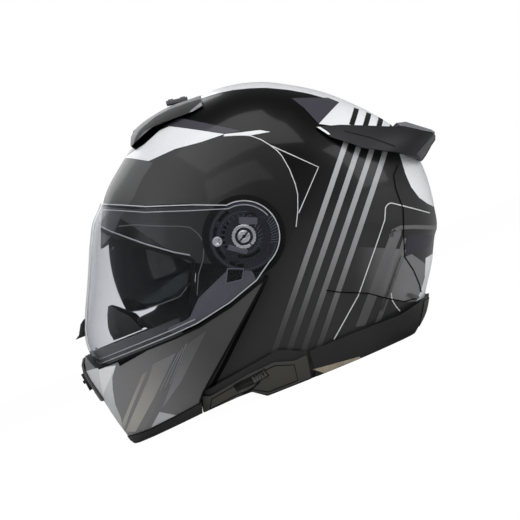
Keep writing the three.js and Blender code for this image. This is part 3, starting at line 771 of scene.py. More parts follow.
SPOILER_SIDE = [
    (83.6, 196.7), (103.9, 190.8), (147.1, 172.5), (153.5, 171), (180.9, 153.8), (184, 153),
    (180.5, 151.1), (172.5, 146.4), (164.8, 140.1), (159.5, 136.9), (146.5, 147.6),
    (138.7, 151.9), (113.7, 165.2), (105.8, 172.4), (91.8, 183.9),
]
SPOILER_CAP = [(151, 176.4), (159.6, 174.2), (181.5, 156.6), (180, 155), (153.8, 171.6)]
VENT_SIDE = [
    (-70.5, 241.6), (-45.8, 249.9), (-13, 249.1), (5.5, 255), (14, 256.8), (14, 290),
    (-62, 290), (-65, 255.4),
]
SUN_LENS = [
    (-140, 110), (-127.5, 110), (-110.7, 106.2), (-77, 105.1), (-68, 111), (-63, 119),
    (-58, 123), (-3, 120), (-3, 134.5), (-48, 146), (-60, 154), (-84, 175), (-104, 194),
    (-112, 206), (-170, 206),
]
DEFLECTOR_SIDE = [(-FAR, 91.4), (-118, 91.4), (-124, 106), (-139, 121), (-FAR, 121)]


# ------------------------------------------------------------------ shell and its paint
FILM, FILM_ROOT = 0.08, 0.4                # height of one film of paint, and its depth below


def build_shell():
    """Outer shell and the rubber seal round its face opening."""
    shell = layer(SHELL, 0, -SHELL_THICK)
    cut(shell, slab([rounded(FACE_OPENING, 4)]))
    keep(shell, heights(0))
    cut(shell, slab([SHELL_FOOT]))
    tidy_normals(shell, [SHELL])
    finish_piece(shell, "shell_skin", SHELL_BLACK, "shell", "shell_paint", ["outer_shell"])

    seal = layer(SHELL, 0.4, -SHELL_THICK - 1)
    keep(seal, slab([offset(FACE_OPENING, -GAP)]))
    cut(seal, slab([offset(FACE_OPENING, -GAP - 3)]))
    keep(seal, heights(20))
    tidy_normals(seal, [SHELL])
    finish_piece(seal, "eyeport_seal", RUBBER, "shell", "rubber_seal", ["eyeport_gasket"])


# Plain even stripes run down the rear side. They are drawn in slanted axes of their own: u
# rearwards and down, v forwards and down.
STRIPES_FROM = (119.3, 203.0)
STRIPES_SLANT = math.radians(-40.7)
STRIPES, STRIPE_PITCH, STRIPE_WIDTH = 4, 11.5, 4.5


def slanted(u, v):
    """A place among the stripes as a point of the side view."""
    c, s = math.cos(STRIPES_SLANT), math.sin(STRIPES_SLANT)
    return STRIPES_FROM[0] + u * c + v * s, STRIPES_FROM[1] + u * s - v * c


STRIPE = paint("paint_stripe", grey(0.42), grey(0.05), (0, *slanted(20, 40)),
               (0, *slanted(20, 215)))


def stripes(start, end):
    """Outlines of the stripes between two places along v."""
    left_edges = [3 + STRIPE_PITCH * k for k in range(STRIPES)]
    return [[slanted(u, start), slanted(u + STRIPE_WIDTH, start),
             slanted(u + STRIPE_WIDTH, end), slanted(u, end)] for u in left_edges]


def coat(name, outlines, material, level, surface=SHELL, body="shell", slot="shell_paint"):
    """Paint film on a surface, level counted in films above it."""
    film = layer(surface, FILM * level, -FILM_ROOT)
    keep(film, slab(outlines))
    tidy_normals(film, [surface])
    return finish_piece(film, name, material, body, slot)


PANEL_EDGE = [(-59.4, 223), (-45, 225.6), (-34, 226), (-20, 225.2), (-8, 223), (7.8, 218.1),
              (20, 214), (28.4, 210.3), (36, 203.5), (41.3, 196.2), (45, 190), (47.2, 184),
              (48.9, 171.4), (48.8, 158), (47.5, 149), (42.4, 136.1), (36, 124)]


def build_areas():
    """Large areas of paint, front to rear."""
    crown = [(2, 258), (18, 256.5), (31.3, 253.9), (45, 249.8), (57.5, 245.3), (74, 237),
             (88.5, 228), (111.7, 210.7), (86.8, 198.3), (104, 189), (150, 168), (210, 190),
             (100, 310), (2, 310)]
    flash = [(-78.7, 235.7), (-57.7, 238.7), (-50, 241.5), (-41.6, 244.8), (-32.5, 244.9),
             (9.1, 219.4), (-12, 220.6), (-34.1, 223.6), (-59.4, 222.9)]
    streak = [(9.1, 219.4), (21.8, 215.8), (38.3, 211.4), (45.9, 206.7), (28.4, 210.3),
              (7.8, 218.1)]
    rear = [(143, 155), (140.5, 131.7), (141, 119.4), (144.4, 108.4), (150, 101), (156, 96),
            (180, 90), (190, 150)]
    wedge = [(131, 58), (124.5, 42.7), (117, 33), (109.5, 26.4), (150, 26), (150, 60)]
    coat("paint_white_areas", [crown, flash, rear, wedge, streak], WHITE, 2)
    lower_rear = [(52, 62), (60, 90), (68, 94), (116, 72), (130, 52), (117, 33), (110, 26),
                  (98.9, 30.7), (85.4, 39.5), (72.2, 49.3), (58, 57)]
    coat("paint_rear_light", [lower_rear], REAR_LIGHT, 1)
    coat("paint_rear_slate", [[(123.3, 82.5), (145.4, 73.7), (138.9, 66), (113.3, 66)]],
         SLATE, 2)

    brow = [(-88.6, 194.9), (-81.5, 199.5), (-76.2, 205.1), (-68.2, 212.2), (-56.5, 220),
            (-60.4, 223.3), (-78.7, 235.7), (-78, 262), (-160, 262), (-160, 160), (-112, 176),
            (-100, 187)]
    coat("paint_brow", [brow], BROW, 1)
    side = [(-76.2, 205.1), (-68.2, 212.2), (-56.5, 220)] + PANEL_EDGE
    side += [(20, 110), (-20, 112), (-60, 130), (-100, 187), (-88.6, 194.9), (-81.5, 199.5)]
    coat("paint_side_panel", [side], PANEL, 1)
    coat("paint_slate_facet", [[(74, 228.1), (104.3, 217.9), (111.7, 210.7), (86.8, 198.3),
                                (80.3, 216.6)]], SLATE, 3)
    strip = [(-38, 246.5), (-22, 248.5), (23, 216.8), (9.1, 219.6), (-32.5, 245.1)]
    coat("paint_vent_strip", [strip], SLATE, 1)


def build_lines():
    """Thin painted lines, the pale bands low on the rear side, and painted shade on folds and by
    the chin seam.
    """
    edge = PANEL_EDGE[5:]
    corner = [(41.3, 196.2), (72.4, 163.9), (42.4, 134)]
    coat("paint_thin_edge", [stroke(edge, 0.7)], LINE, 3)
    coat("paint_thin_corner", [stroke(corner, 0.8)], LINE, 4)
    turn = arc((117.6, 107.3), 6, 75, 150, 6)
    long_line = [(149, 92.7)] + turn + [(108.5, 102), (97.5, 89.1), (63.6, 50.5), (30.8, 23.8)]
    coat("paint_long_line", [stroke(long_line, 0.9)], LINE, 4)
    hook = [(90.9, 41.9), (89.6, 36), (90.7, 30), (92.8, 24.1)]
    coat("paint_rear_hook", [stroke(hook, 0.9)], LINE, 4)

    wide = [(110, 91), (119, 88.5), (117.1, 84.9), (60.1, 24.6), (51.9, 26.8), (106, 86)]
    over = stroke([(108, 86.5), (112, 90.5), (119, 90.8), (132, 86.2), (152, 78)], 3.4)
    narrow = [(109.5, 68.6), (113.4, 67), (74.4, 23.5), (68.7, 23.4)]
    thin = [(118, 82), (120.5, 80), (84, 36), (79, 30.5), (76, 31.5)]
    coat("paint_pale_bands", [wide, narrow, thin, over], BANDS, 3)
    # The strokes seam and fold are painted shade along soft folds of the shell's side.
    seam = [(40, 65), (49.1, 59.7), (72.2, 49.3), (85.4, 39.5), (98.9, 30.7), (112, 28.5)]
    fold = [(137, 141), (130, 134), (127.5, 123), (127, 104), (119.2, 84), (113.3, 66),
            (116.6, 52.7), (117.7, 38.6), (116.9, 32)]
    coat("shell_crease_shade", [stroke(seam, 1.0), stroke(fold, 1.0)], CREASE_SHADE, 5)
    shadow = [(-1.5, 95.5), (-12, 85), (-60, 41.5), (-85, 20.5)]
    coat("chin_seam_shadow", [stroke(shadow, 3.4)], CREASE_SHADE, 5)


def build_stripes():
    """Plain stripes down the rear side, and dark ones in line with them above the wing."""
    coat("paint_stripes", stripes(27, 225), STRIPE, 3)
    coat("paint_dark_stripes", stripes(-1, 16), DARK_LINE, 4)


SLIDER_AT, SLIDER_LEAN = (-38.0, 17.0), 0.11
SLIDER_SIZE, SLIDER_TRAVEL = (13.0, 7.0), 16.0
SLIDER_ROLL = 0.28                         # how far the shell's side leans in there, in radians


def groove_block(middle, length, height, low, high):
    """Block lying along the slider's groove, from low to high above the shell."""
    y, z = SLIDER_AT
    start = (y - SLIDER_TRAVEL, z - SLIDER_TRAVEL * math.tan(SLIDER_LEAN))
    near, far = SHELL.side(*start), SHELL.side(y, z)
    outward = math.atan2(far - near, SLIDER_TRAVEL)
    turn = Matrix.Rotation(-SLIDER_ROLL, 3, "Y") @ Matrix.Rotation(-outward, 3, "Z")
    turn = turn @ Matrix.Rotation(SLIDER_LEAN, 3, "X")
    centre = Vector(((near + far) / 2, y - SLIDER_TRAVEL / 2, z - 1))
    half_length, half_height = length / 2, height / 2
    piece = block((low, middle - half_length, -half_height),
                  (high, middle + half_length, half_height))
    for vertex in piece.data.vertices:
        drawn = vertex.co / MM - Vector((0, MIDDLE, 0))
        vertex.co = place(turn @ drawn + centre)
    return piece


def slider_room():
    """Room for the sun visor's slider and its travel."""
    return groove_block(0, SLIDER_SIZE[0] + SLIDER_TRAVEL + 2, SLIDER_SIZE[1] + 1, 2.4, 9)


def build_skirts():
    """Side skirts with a raised frame, an inset panel whose groove and notch are painted shade,
    and the rear skirt.
    """
    bottom = GAP + SKIRT_THICK
    frame_side = [(-95.4, 6.3), (-90.4, 20.4), (-84.5, 17.6), (-47.5, 23.4), (-23.9, 25),
                  (-6.4, 19.6), (4.3, 20.6), (1, 1), (-38, 1), (-50, 8.8), (-63.5, 8.8)]
    panel = [(-89, 7.4), (-84.1, 15), (-47.8, 20.6), (-23.5, 22), (-8.3, 16.6), (-10.4, 3),
             (-37, 3), (-50, 10.6), (-63.5, 10.6)]
    notch = [(-34.9, 19.8), (-41, 13.2), (-50.5, 9.2), (-61.6, 8.9), (-46, 12.4), (-40, 15.5)]
    for name, low, high in halves(5):
        room = slider_room if name == "left" else None
        skin(f"skirt_{name}", TRIM, SHELL, bottom, GAP, [rounded(SKIRT_FRONT, 1.5)], low, high,
             replaces=[f"side_skirt_{name}"], hole=room)
        skin(f"skirt_frame_{name}", TRIM_GREY, SHELL, bottom + 1.6, bottom - 1,
             [rounded(frame_side, 2)], low, high, edge=0.7, hole=room)
        # The groove round the panel and the notch are dark strips of painted shade.
        skin(f"skirt_groove_shade_{name}", RUBBER, SHELL, bottom + 1.65, bottom,
             [stroke(panel + panel[:1], 0.9)], low, high, hole=room)
        skin(f"skirt_notch_shade_{name}", RUBBER, SHELL, bottom + 1.7, bottom, [notch], low, high)
    skin("skirt_rear", TRIM, SHELL, bottom, GAP, [rounded(SKIRT_REAR, 1.5)],
         replaces=["rear_skirt"], edge=0.8)
    facet = [(105, 4), (117, 24.2), (FAR, 26), (FAR, 4)]
    skin("skirt_rear_facet", TRIM_GREY, SHELL, bottom + 0.6, bottom - 0.5, [facet])


def build_spoiler():
    """Wing at the rear with its middle cap; painted shade on its crease, painted highlights on
    its tips and lower lip.
    """
    wing = carved(SPOILER, 0, GAP, rounded(SPOILER_SIDE, 1.2))
    finish_piece(wing, "wing", SATIN, "shell", "satin_plastic", ["rear_spoiler"])
    # A dark stroke along the wing's crease is painted shade.
    crease = [(104.3, 184.7), (123, 171.2), (140.1, 156.5)]
    coat("wing_crease_shade", [stroke(crease, 1.0)], RUBBER, 1, surface=SPOILER)
    # The white tip is a painted highlight; the lip is a lighter satin standing in for light on
    # its bevel.
    tip = [(83.8, 196.4), (86.8, 195.4), (90.6, 189.9), (92.4, 186.2), (90.6, 186.6)]
    lip = [(156, 144.4), (159.5, 138.6), (164.4, 141.6), (172, 147.8), (180.5, 153), (178, 155)]
    for name, outline, material in (("wing_tip_highlight", tip, WHITE), ("wing_lip_painted_light", lip, SATIN_LIGHT)):
        piece = carved(SPOILER, 0.3, GAP + 0.5, outline)
        finish_piece(piece, name, material, "shell", "satin_plastic")
    cap = carved(SPOILER, 0, GAP, offset(SPOILER_CAP, -0.2), -38, 38)
    round_edges(cap, 0.6)
    finish_piece(cap, "wing_cap", CAP, "shell", "grey_paint", ["spoiler_cap"])


def build_top_vent():
    """Housing with a seat for its slider and an open mouth, dark bands on its sides, and a
    painted highlight along its rear edge.
    """
    seat = [(-29, 263.5), (-3.2, 259.3), (-3.2, 280), (-29, 280)]
    mouth = [(-90, 246.5), (-56, 251), (-56, 254.8), (-90, 254.8)]
    housing = carved(VENT, 0, GAP, rounded(VENT_SIDE, 2),
                     holes=[slab([seat], -12.7, 12.7), slab([mouth], -30, 30)])
    finish_piece(housing, "brow_vent", VENT_TOP, "shell", "satin_plastic", ["top_vent"])
    band = [(-66.9, 242.5), (-62, 248.5), (-56.9, 252.4), (-40.8, 258.1), (-25, 259.7),
            (-4.2, 258.6), (6, 256.6), (9.4, 253.4), (3.5, 250.2), (-9.4, 248.9), (-32, 249.5),
            (-44, 250.6), (-54.7, 249.4)]
    # The lighter lip along the vent's rear edge is a painted highlight.
    lip = [(-11.9, 249.6), (-9.4, 248.8), (8.6, 252.6), (5.5, 256.4)]
    for name, low, high in halves(20):
        for part, outline, grow, gap, material in (
            ("side", rounded(band, 1.5), 0.25, 0.4, TRIM), ("lip", lip, 0.45, 0.6, CAP)
        ):
            piece = carved(VENT, grow, GAP + gap, outline, low, high)
            finish_piece(piece, f"brow_vent_{part}_{name}", material, "shell", "satin_plastic")


# ------------------------------------------------------------------ pieces that flip up
def build_visor():
    """Clear visor with painted highlights on its rim and steps; smoked visor with a painted
    highlight on its lower edge and a glint.
    """
    rim = VISOR_TOP[1:] + arc(KNOB, VISOR_DISC, 97, -65, 48) + VISOR_LOW[:-1]
    outline = VISOR_TOP[:1] + rim + VISOR_LOW[-1:]
    step = offset_path(VISOR_TOP[1:], -5.5) + arc(KNOB, VISOR_DISC - 4, 97, 20, 16)
    low_step = offset_path(VISOR_LOW[:-1], -4.5)[2:]
    inside = -VISOR_THICK + 0.4, -VISOR_THICK - 0.3
    clear = functools.partial(skin, body="visor_body", slot="clear_lens")
    clear("clear_visor", CLEAR, VISOR, 0, -VISOR_THICK, [outline], replaces=["visor"])
    # The pale strips along the rim and the steps are painted highlights.
    clear("visor_bright_edge", LENS_EDGE_HIGHLIGHT, VISOR, 0.1, -0.5, [stroke(offset_path(rim, -0.7), 0.9)])
    clear("visor_step", LENS_EDGE_HIGHLIGHT, VISOR, *inside, [stroke(step, 0.8)])
    clear("visor_low_step", LENS_EDGE_HIGHLIGHT, VISOR, *inside, [stroke(low_step, 1.0)])

    # edge is a painted highlight and glint a painted glint on the smoked visor.
    edge = [(-68, 111), (-77, 105.6), (-94, 105.9), (-110.7, 106.8), (-127.5, 110.6)]
    glint = [(-112, 113), (-62, 125), (-66, 114.5), (-80, 109.5), (-97.8, 108.5)]
    smoked = functools.partial(skin, body="sun_visor_body", slot="smoked_lens")
    smoked("smoked_visor", SMOKE, SUN, 0, -VISOR_THICK, [rounded(SUN_LENS, 3)],
           replaces=["sun_visor"])
    smoked("smoked_visor_edge", SMOKE_EDGE_HIGHLIGHT, SUN, 0.15, -0.4, [stroke(edge, 0.9)])
    smoked("smoked_visor_band", SMOKE_GLINT, SUN, 0.1, -0.2, [glint])


def build_chin():
    """Chin bar with its paint, painted light and shade on it, and the dark seams round its edges.
    """
    chin = layer(CHIN, 0, -CHIN_THICK)
    keep(chin, slab([CHIN_SIDE]))
    flange = layer(VISOR, -VISOR_THICK - 1.2, -VISOR_THICK - 5)
    keep(flange, slab([CHIN_FLANGE]))
    join(chin, flange)
    ledge = peel(CHIN, -2)
    cut(ledge, peel(VISOR, -VISOR_THICK - 4.5))
    keep(ledge, slab([CHIN_LEDGE]))
    join(chin, ledge)
    cut(chin, slab([[(-FAR, 55), (-150, 55), (-150, 74), (-FAR, 74)]], -20, 20))
    tidy_normals(chin, [CHIN, VISOR])
    finish_piece(chin, "chin_skin", CHIN_GREY, "chin", "grey_paint", ["chin_bar"])

    on_chin = functools.partial(coat, surface=CHIN, body="chin", slot="grey_paint")
    # The lighter facet is painted light, and the glint on it a painted highlight.
    facet = [(-184, 76), (-168, 75.2), (-149.7, 71.5), (-157, 63), (-161, 53), (-164.5, 40),
             (-164.5, 28), (-168, 14.3), (-184, 20)]
    glint = [(-166, 73), (-149.7, 71.5), (-172, 51), (-169.5, 62)]
    on_chin("chin_light_facet", [facet], CHIN_LIT_FACET, 1)
    on_chin("chin_glint", [glint], CHIN_GLINT, 2)
    main_band = [(-118.9, 61.1), (-97.5, 62.9), (-130, 33.3), (-157, 11.5), (-166.1, 14.1),
                 (-128.7, 49.5)]
    thin_band = [(-165.2, 22.8), (-131.4, 55.8), (-126, 57.5), (-152.3, 31.5), (-166.6, 16.5)]
    on_chin("chin_bands", [main_band, thin_band], CHIN_BAND, 1)
    soft = [(-85.9, 66.1), (-65.9, 71), (-102, 38.9), (-126.5, 22.8), (-96.9, 54.9)]
    on_chin("chin_soft_band", [soft], CHIN_SOFT, 1)
    rays = [[(-122 + 5 * k, 38 + k), (-94 + 4 * k, 63 + 2 * k)] for k in range(3)]
    on_chin("chin_fine_rays", [stroke(ray, 0.35) for ray in rays], CHIN_RAY, 2)
    on_chin("chin_patch", [[(-129.8, 20.9), (-117.5, 13.2), (-142.6, 10.4)]], CHIN_PATCH, 2)
    # A dark wedge under the visor's lower edge is painted shade.
    on_chin("chin_wedge", [[(-147, 73.4), (-119, 73.6), (-146.8, 69.6)]], CREASE_SHADE, 2)

    seam = [(-0.9, 94), (-87.7, 22.5), (-93.6, 15.9)]
    top = [(-1.5, 93.6), (-12, 91), (-40, 82), (-71.4, 75.9), (-94, 74.7), (-166, 74.1)]
    trim_line = [(-93.8, 15.6), (-118, 12.3), (-145, 9.3), (-165, 9.3)]
    inner = -CHIN_THICK - 0.1
    strip = functools.partial(skin, body="chin", slot="rubber_seal")
    strip("chin_rear_seam", RUBBER, CHIN, 0.12, inner, [stroke(offset_path(seam, -0.9), 1.9)])
    strip("chin_top_seal", RUBBER, CHIN, 0.2, inner, [stroke(top, 1.7)])
    strip("chin_low_seam", RUBBER, CHIN, 0.9, -1, [stroke(trim_line, 1.0)])


def turned(radius, degrees):
    """Point at an angle round the visor knob."""
    angle = math.radians(degrees)
    return KNOB[0] + radius * math.cos(angle), KNOB[1] + radius * math.sin(angle)


BASE_PLATE = -4.6, -5.8                    # its outer and inner side, below the chin bar's skin


def build_base_plate():
    """Round base of the visor on each side, with its tracks, teeth, lugs and recess."""
    well = [(-111, 204.3), (-86.8, 191.6), (-75.3, 187.8), (-38.1, 174.2)]
    top = stroke(offset_path(well, -0.6), 2.4)
    disc_steps = 0, 357, 119
    # Dark rubber strips on the shell round the visor's disc and under its top edge are painted
    # shade for the gap there.
    for name, outline in (("visor_well", arc(KNOB, VISOR_DISC + 4.6, *disc_steps)),
                          ("visor_well_line", top)):
        skin(name, RUBBER, SHELL, 0.35, -0.4, [outline], slot="rubber_seal")

    flange = [(-97, 84.7), (-75.7, 85.8), (-62.3, 98.7), (-30, 112), (-12, 104.3), (-11.3, 94.6),
              (-39.2, 85.6), (-70.9, 79.5), (-94, 78.2)]
    slots = [stroke(arc(KNOB, 24.5, 100 + 40 * k, 128 + 40 * k, 8), 2.6) for k in range(4)]
    slots += [stroke(arc(KNOB, 17.5, 118, 190, 12), 2.2),
              stroke(arc(KNOB, 17.0, 232, 300, 12), 2.4)]
    slots += [arc((-21.9, 113.9), 1.5, 0, 330, 11)]
    recess = [(-30.5, 112.8), (-17.8, 107.6), (-22.5, 99.8), (-36, 101.8)]
    marks = [stroke([turned(23, a), turned(29, a + 4)], 0.35) for a in range(-34, 12, 5)]
    marks += [stroke([turned(12, a), turned(16, a + 9)], 0.3) for a in range(-60, 30, 13)]
    ribs = [stroke(arc(KNOB, 27.6, 35, 325, 60), 1.3),
            stroke(arc(KNOB, 21.0, 60, 200, 30), 1.1),
            stroke(arc(KNOB, 13.6, 215, 330, 24), 1.6)]
    ribs += [stroke([turned(16, a), turned(19.5, a)], 1.2) for a in range(70, 200, 14)]
    lugs = [[(-5.5, 149.6), (8.8, 143.3), (6.5, 138), (-7.5, 143.6)],
            [(-21.8, 131.3), (-8.4, 121), (-11, 118), (-24.6, 127.4)]]
    for name, low, high in halves(60):
        on_base = functools.partial(skin, low=low, high=high, body="chin")
        on_base(f"chin_side_flange_{name}", TOOTHED, CHIN, *BASE_PLATE, [rounded(flange, 3)],
                slot="grey_paint")
        disc = layer(CHIN, *BASE_PLATE)
        keep(disc, slab([arc(KNOB, 29.4, *disc_steps)], low, high))
        cut(disc, slab([arc(HINGE, 5.4, 0, 350, 35)], low, high))
        cut(disc, slab(slots, low, high))
        tidy_normals(disc, [CHIN])
        round_edges(disc, 0.25, limit=50)
        finish_piece(disc, f"pivot_base_{name}", MECHANISM, "chin", "black_trim",
                     [f"pivot_plate_{name}"])
        on_base(f"pivot_recess_frame_{name}", PIVOT_LINE, CHIN, -3.8, -4.9,
                [stroke(recess + recess[:1], 0.9)])
        on_base(f"pivot_recess_{name}", RUBBER, CHIN, -4.4, -5.2, [recess])
        on_base(f"pivot_marks_{name}", PIVOT_LINE, CHIN, -4.5, -4.9, marks)
        on_base(f"pivot_ribs_{name}", MECHANISM_RIB, CHIN, -3.9, -4.9, ribs)
        on_base(f"pivot_lugs_{name}", TOOTHED, CHIN, -3.4, -4.9,
                [rounded(lug, 1) for lug in lugs], slot="steel", edge=0.3)
        build_hub(name, 1 if name == "left" else -1)


SCREW_AT = (-30.0, 136.9)


def build_hub(name, side):
    """Toothed silver ring with the slotted knob in it, and the cross-headed screw beside it."""
    def level(low, high):
        return (low, high) if side > 0 else (-high, -low)

    def finished(piece, edge, title, material, node=None, body="chin", slot="steel"):
        round_edges(piece, edge)
        finish_piece(piece, f"{title}_{name}", material, body, slot,
                     [f"{node}_{name}"] if node else ())

    foot, middle = 122.6, (110, 140)
    teeth = [turned(9.9 + (0.45 if k % 6 < 3 else 0.0), 2.5 * k) for k in range(144)]
    ring = slab([teeth], *level(foot, 124.6))
    cut(ring, bar(7.6, *level(*middle), KNOB))
    cut(ring, slab([[turned(6, 285), turned(12, 287), turned(12, 293), turned(6, 295)]]))
    finished(ring, 0.35, "pivot_silver_ring", STEEL, "pivot_ring")
    hub = bar(6.6, *level(foot, 124.0), KNOB)
    finished(hub, 0.6, "pivot_hub", MECHANISM, slot="black_trim")
    knob = bar(5.3, *level(foot, 124.9), KNOB)
    slot = [turned(7, 20), turned(7, 32), turned(7, 200), turned(7, 212)]
    cut(knob, slab([slot], *level(124.0, 130)))
    cut(knob, bar(1.6, *level(123.6, 130), KNOB))
    finished(knob, 0.5, "pivot_slotted_knob", STEEL, "pivot_knob")
    screw = bar(4.1, *level(121.0, 123.7), SCREW_AT)
    for turn in (30, 120):
        ends = arc(SCREW_AT, 2.6, turn + 180, turn, 1)
        cut(screw, slab([stroke(ends, 1.1)], *level(122.8, 130)))
    finished(screw, 0.4, "pivot_cross_screw", STEEL, "pivot_screw")
    pin = bar(4.4, *level(122.0, 124.2), HINGE)
    finished(pin, 0.6, "hinge_pin_head", MECHANISM, "hinge_pin", body="shell")


def build_eyeport_lines():
    """Painted highlights: a soft pale line on the moulded step round the face opening, and a
    bright line on the lip along its upper edge.
    """
    step = [(-104, 181), (-90, 176.6), (-73.2, 168.5), (-54, 160.5), (-46.7, 156.5),
            (-42.5, 149), (-40.7, 139.5), (-47, 127), (-55, 117.2), (-62.5, 101.5)]
    # The soft pale line on the step and the bright line on the lip are painted highlights.
    coat("eyeport_step_highlight", [stroke(step, 0.8)], SOFT_LINE, 4)
    lip = [(-134, 202), (-126.5, 194.4), (-111.5, 179), (-87.6, 158), (-67.6, 142.6),
           (-55.5, 135)]
    coat("eyeport_lip_highlight", [stroke(lip, 0.9)], LINE, 4)


# ------------------------------------------------------------------ linings, foam and straps
CHEEK_SIDE = [
    (-80, 24), (-70, 76), (-52, 100), (-20, 112), (4, 108), (12, 80), (14, 36), (0, 22),
    (-40, 19), (-66, 20),
]
CHEEK_FRONT = [(-104, 80), (-113, 88), (-121, 97), (-122, 103), (-104, 103.5), (-92, 111),
               (-66, 115), (-46, 106), (-46, 88), (-58, 75), (-90, 74)]
CHEEK_LOBE = Surface(VISOR_OUTLINE, 80.5)
LOBE_THICK = 24
CROWN_SIDE = [(-78, 178), (-30, 128), (92, 118), (130, 118), (130, 240), (-90, 240)]
ROLL_SIDE = [(22, 1.5), (FAR, 1.5), (FAR, 30), (40, 30), (22, 24)]
PUFF_FRAMES, PUFF_PRESSURE, PUFF_TENSION = 20, 4, 25


def puff(obj, voxel, cap):
    """Swells a pad by cloth pressure; no point moves further than cap."""
    mesh_again = obj.modifiers.new("remesh", "REMESH")
    mesh_again.mode, mesh_again.voxel_size = "VOXEL", voxel * MM
    bake_modifiers(obj)
    before = [vertex.co.copy() for vertex in obj.data.vertices]
    cloth = obj.modifiers.new("cloth", "CLOTH")
    cloth.settings.use_pressure = True
    cloth.settings.uniform_pressure_force = PUFF_PRESSURE
    cloth.settings.tension_stiffness = PUFF_TENSION
    cloth.settings.effector_weights.gravity = 0
    for step in range(1, PUFF_FRAMES + 1):
        bpy.context.scene.frame_set(step)
    bake_modifiers(obj)
    bpy.context.scene.frame_set(1)
    for vertex, start in zip(obj.data.vertices, before):
        moved = vertex.co - start
        if moved.length > cap * MM:
            vertex.co = start + moved.normalized() * cap * MM
    smooth = obj.modifiers.new("smooth", "SMOOTH")
    smooth.iterations = 3
    finer = obj.modifiers.new("finer", "SUBSURF")
    finer.levels = finer.render_levels = 1
    bake_modifiers(obj)
    obj.data.shade_smooth()
    return obj


def pad(solid, name, material, slot, replaces, cap=5, voxel=5.0):
    puff(solid, voxel, cap)
    finish_piece(solid, name, material, "shell", slot, replaces)


def build_cheek_pads():
    """Each pad is sewn from an upper and a lower panel, with a lobe in front of them."""
    for name, low, high in halves():
        room = slab([offset(CHEEK_SIDE, -2.5)], low, high)
        body = peel(HEAD, -3.0, PLAIN)
        cut(body, peel(CHEEK, 2.5, PLAIN))
        keep(body, room)
        upper = body.copy()
        upper.data = body.data.copy()
        bpy.context.scene.collection.objects.link(upper)
        keep(upper, heights(66))
        keep(body, heights(-FAR, 63.5))
        lobe = layer(CHEEK_LOBE, -2.0, 2.0 - LOBE_THICK, PLAIN)
        keep(lobe, slab([offset(CHEEK_FRONT, -0.6)], low, high))
        node = [f"cheek_pad_{name}"]
        pad(upper, f"cheek_upper_{name}", KNIT, "lining_fabric", node)
        pad(body, f"cheek_lower_{name}", MESH_KNIT, "lining_fabric", node)
        pad(lobe, f"cheek_lobe_{name}", KNIT, "lining_fabric", node, cap=3.5, voxel=4.0)


def build_crown_liner():
    """Three long panels over the head with sewn channels between them."""
    outline = [offset(CROWN_SIDE, -2)]
    for name, low, high, material in (("right", -FAR, -30, KNIT), ("middle", -28, 28, MESH_KNIT),
                                      ("left", 30, FAR, KNIT)):
        panel = layer(HEAD, -2.0, -6.5, PLAIN)
        keep(panel, slab(outline, low, high))
        pad(panel, f"crown_panel_{name}", material, "lining_fabric", ["crown_liner"], voxel=4.0)
    for name, low, high in halves(29 - 1.6, 29 + 1.6):
        edging = layer(HEAD, -4.0, -7.0, PLAIN)
        keep(edging, slab(outline, low, high))
        round_edges(edging, 0.8)
        finish_piece(edging, f"crown_channel_{name}", WEBBING, "shell", "lining_fabric")


def build_neck_roll():
    """Soft roll round the lower rear rim, its piping, and its cloth over the skirt's edge."""
    roll = layer(SHELL, -SHELL_THICK - 4.5, -21.5, PLAIN)
    keep(roll, slab([offset(ROLL_SIDE, -2.5)]))
    pad(roll, "neck_cushion", BEIGE, "neck_fabric", ["neck_roll"])
    piping = layer(SHELL, -SHELL_THICK - 3, -SHELL_THICK - 5.4, PLAIN)
    keep(piping, slab([[(26, 2.4), (FAR, 2.4), (FAR, 5), (26, 5)]]))
    round_edges(piping, 0.9)
    finish_piece(piping, "neck_piping", WEBBING, "shell", "neck_fabric")
    tongue = [(4.8, 6.9), (46, 1.9), (46, 0.3), (12.7, 0.3)]
    skin("neck_cloth_edge", BEIGE, SHELL, GAP + SKIRT_THICK + 0.25, GAP + SKIRT_THICK - 0.4,
         [tongue], slot="neck_fabric")


STRAP_STATIONS = [
    ((80, 31, 84), (0, 1, 0)), ((77.5, 31, 62), (0, 1, 0)), ((72, 31, 41), (0, 1, 0)),
    ((63, 27, 25), (-0.3, 1, 0)), ((50, 14, 13), (-0.7, 0.8, 0)),
    ((36, -6, 8.5), (-0.8, 0.6, 0)), ((30, -20, 7.8), (-0.7, 0.7, 0)),
    ((23, -34, 7.6), (-0.1, 1, 0)), ((16.4, -34, 7.6), (0, 1, 0)),
]
STRAP_WIDTH, STRAP_THICK = 20.0, 1.8
STRAP_END, STRAP_STEPS = len(STRAP_STATIONS) - 1, 80
STITCH_ROW, STITCHES = 7.2, 48
BUCKLE_Y, BUCKLE_Z = -34.0, 9.0


def between(values, position):
    """Smooth curve through a list of vectors; position counts in list places."""
    last = len(values) - 1
    i = min(int(position), last - 1)
    t = position - i
    before, start, end, after = (values[min(max(i + k, 0), last)] for k in (-1, 0, 1, 2))
    return 0.5 * ((2 * start) + (end - before) * t
                  + (2 * before - 5 * start + 4 * end - after) * t * t
                  + (3 * start - before - 3 * end + after) * t**3)


def strap_frame(at):
    """Middle, sideways direction and outward direction of the strap at a place along it."""
    centres = [Vector(centre) for centre, _ in STRAP_STATIONS]
    sideways = [Vector(across).normalized() for _, across in STRAP_STATIONS]
    last = len(centres) - 1
    along = between(centres, min(at + 0.05, last)) - between(centres, max(at - 0.05, 0))
    along.normalize()
    across = between(sideways, at)
    across = (across - along * across.dot(along)).normalized()
    return between(centres, at), across, along.cross(across)


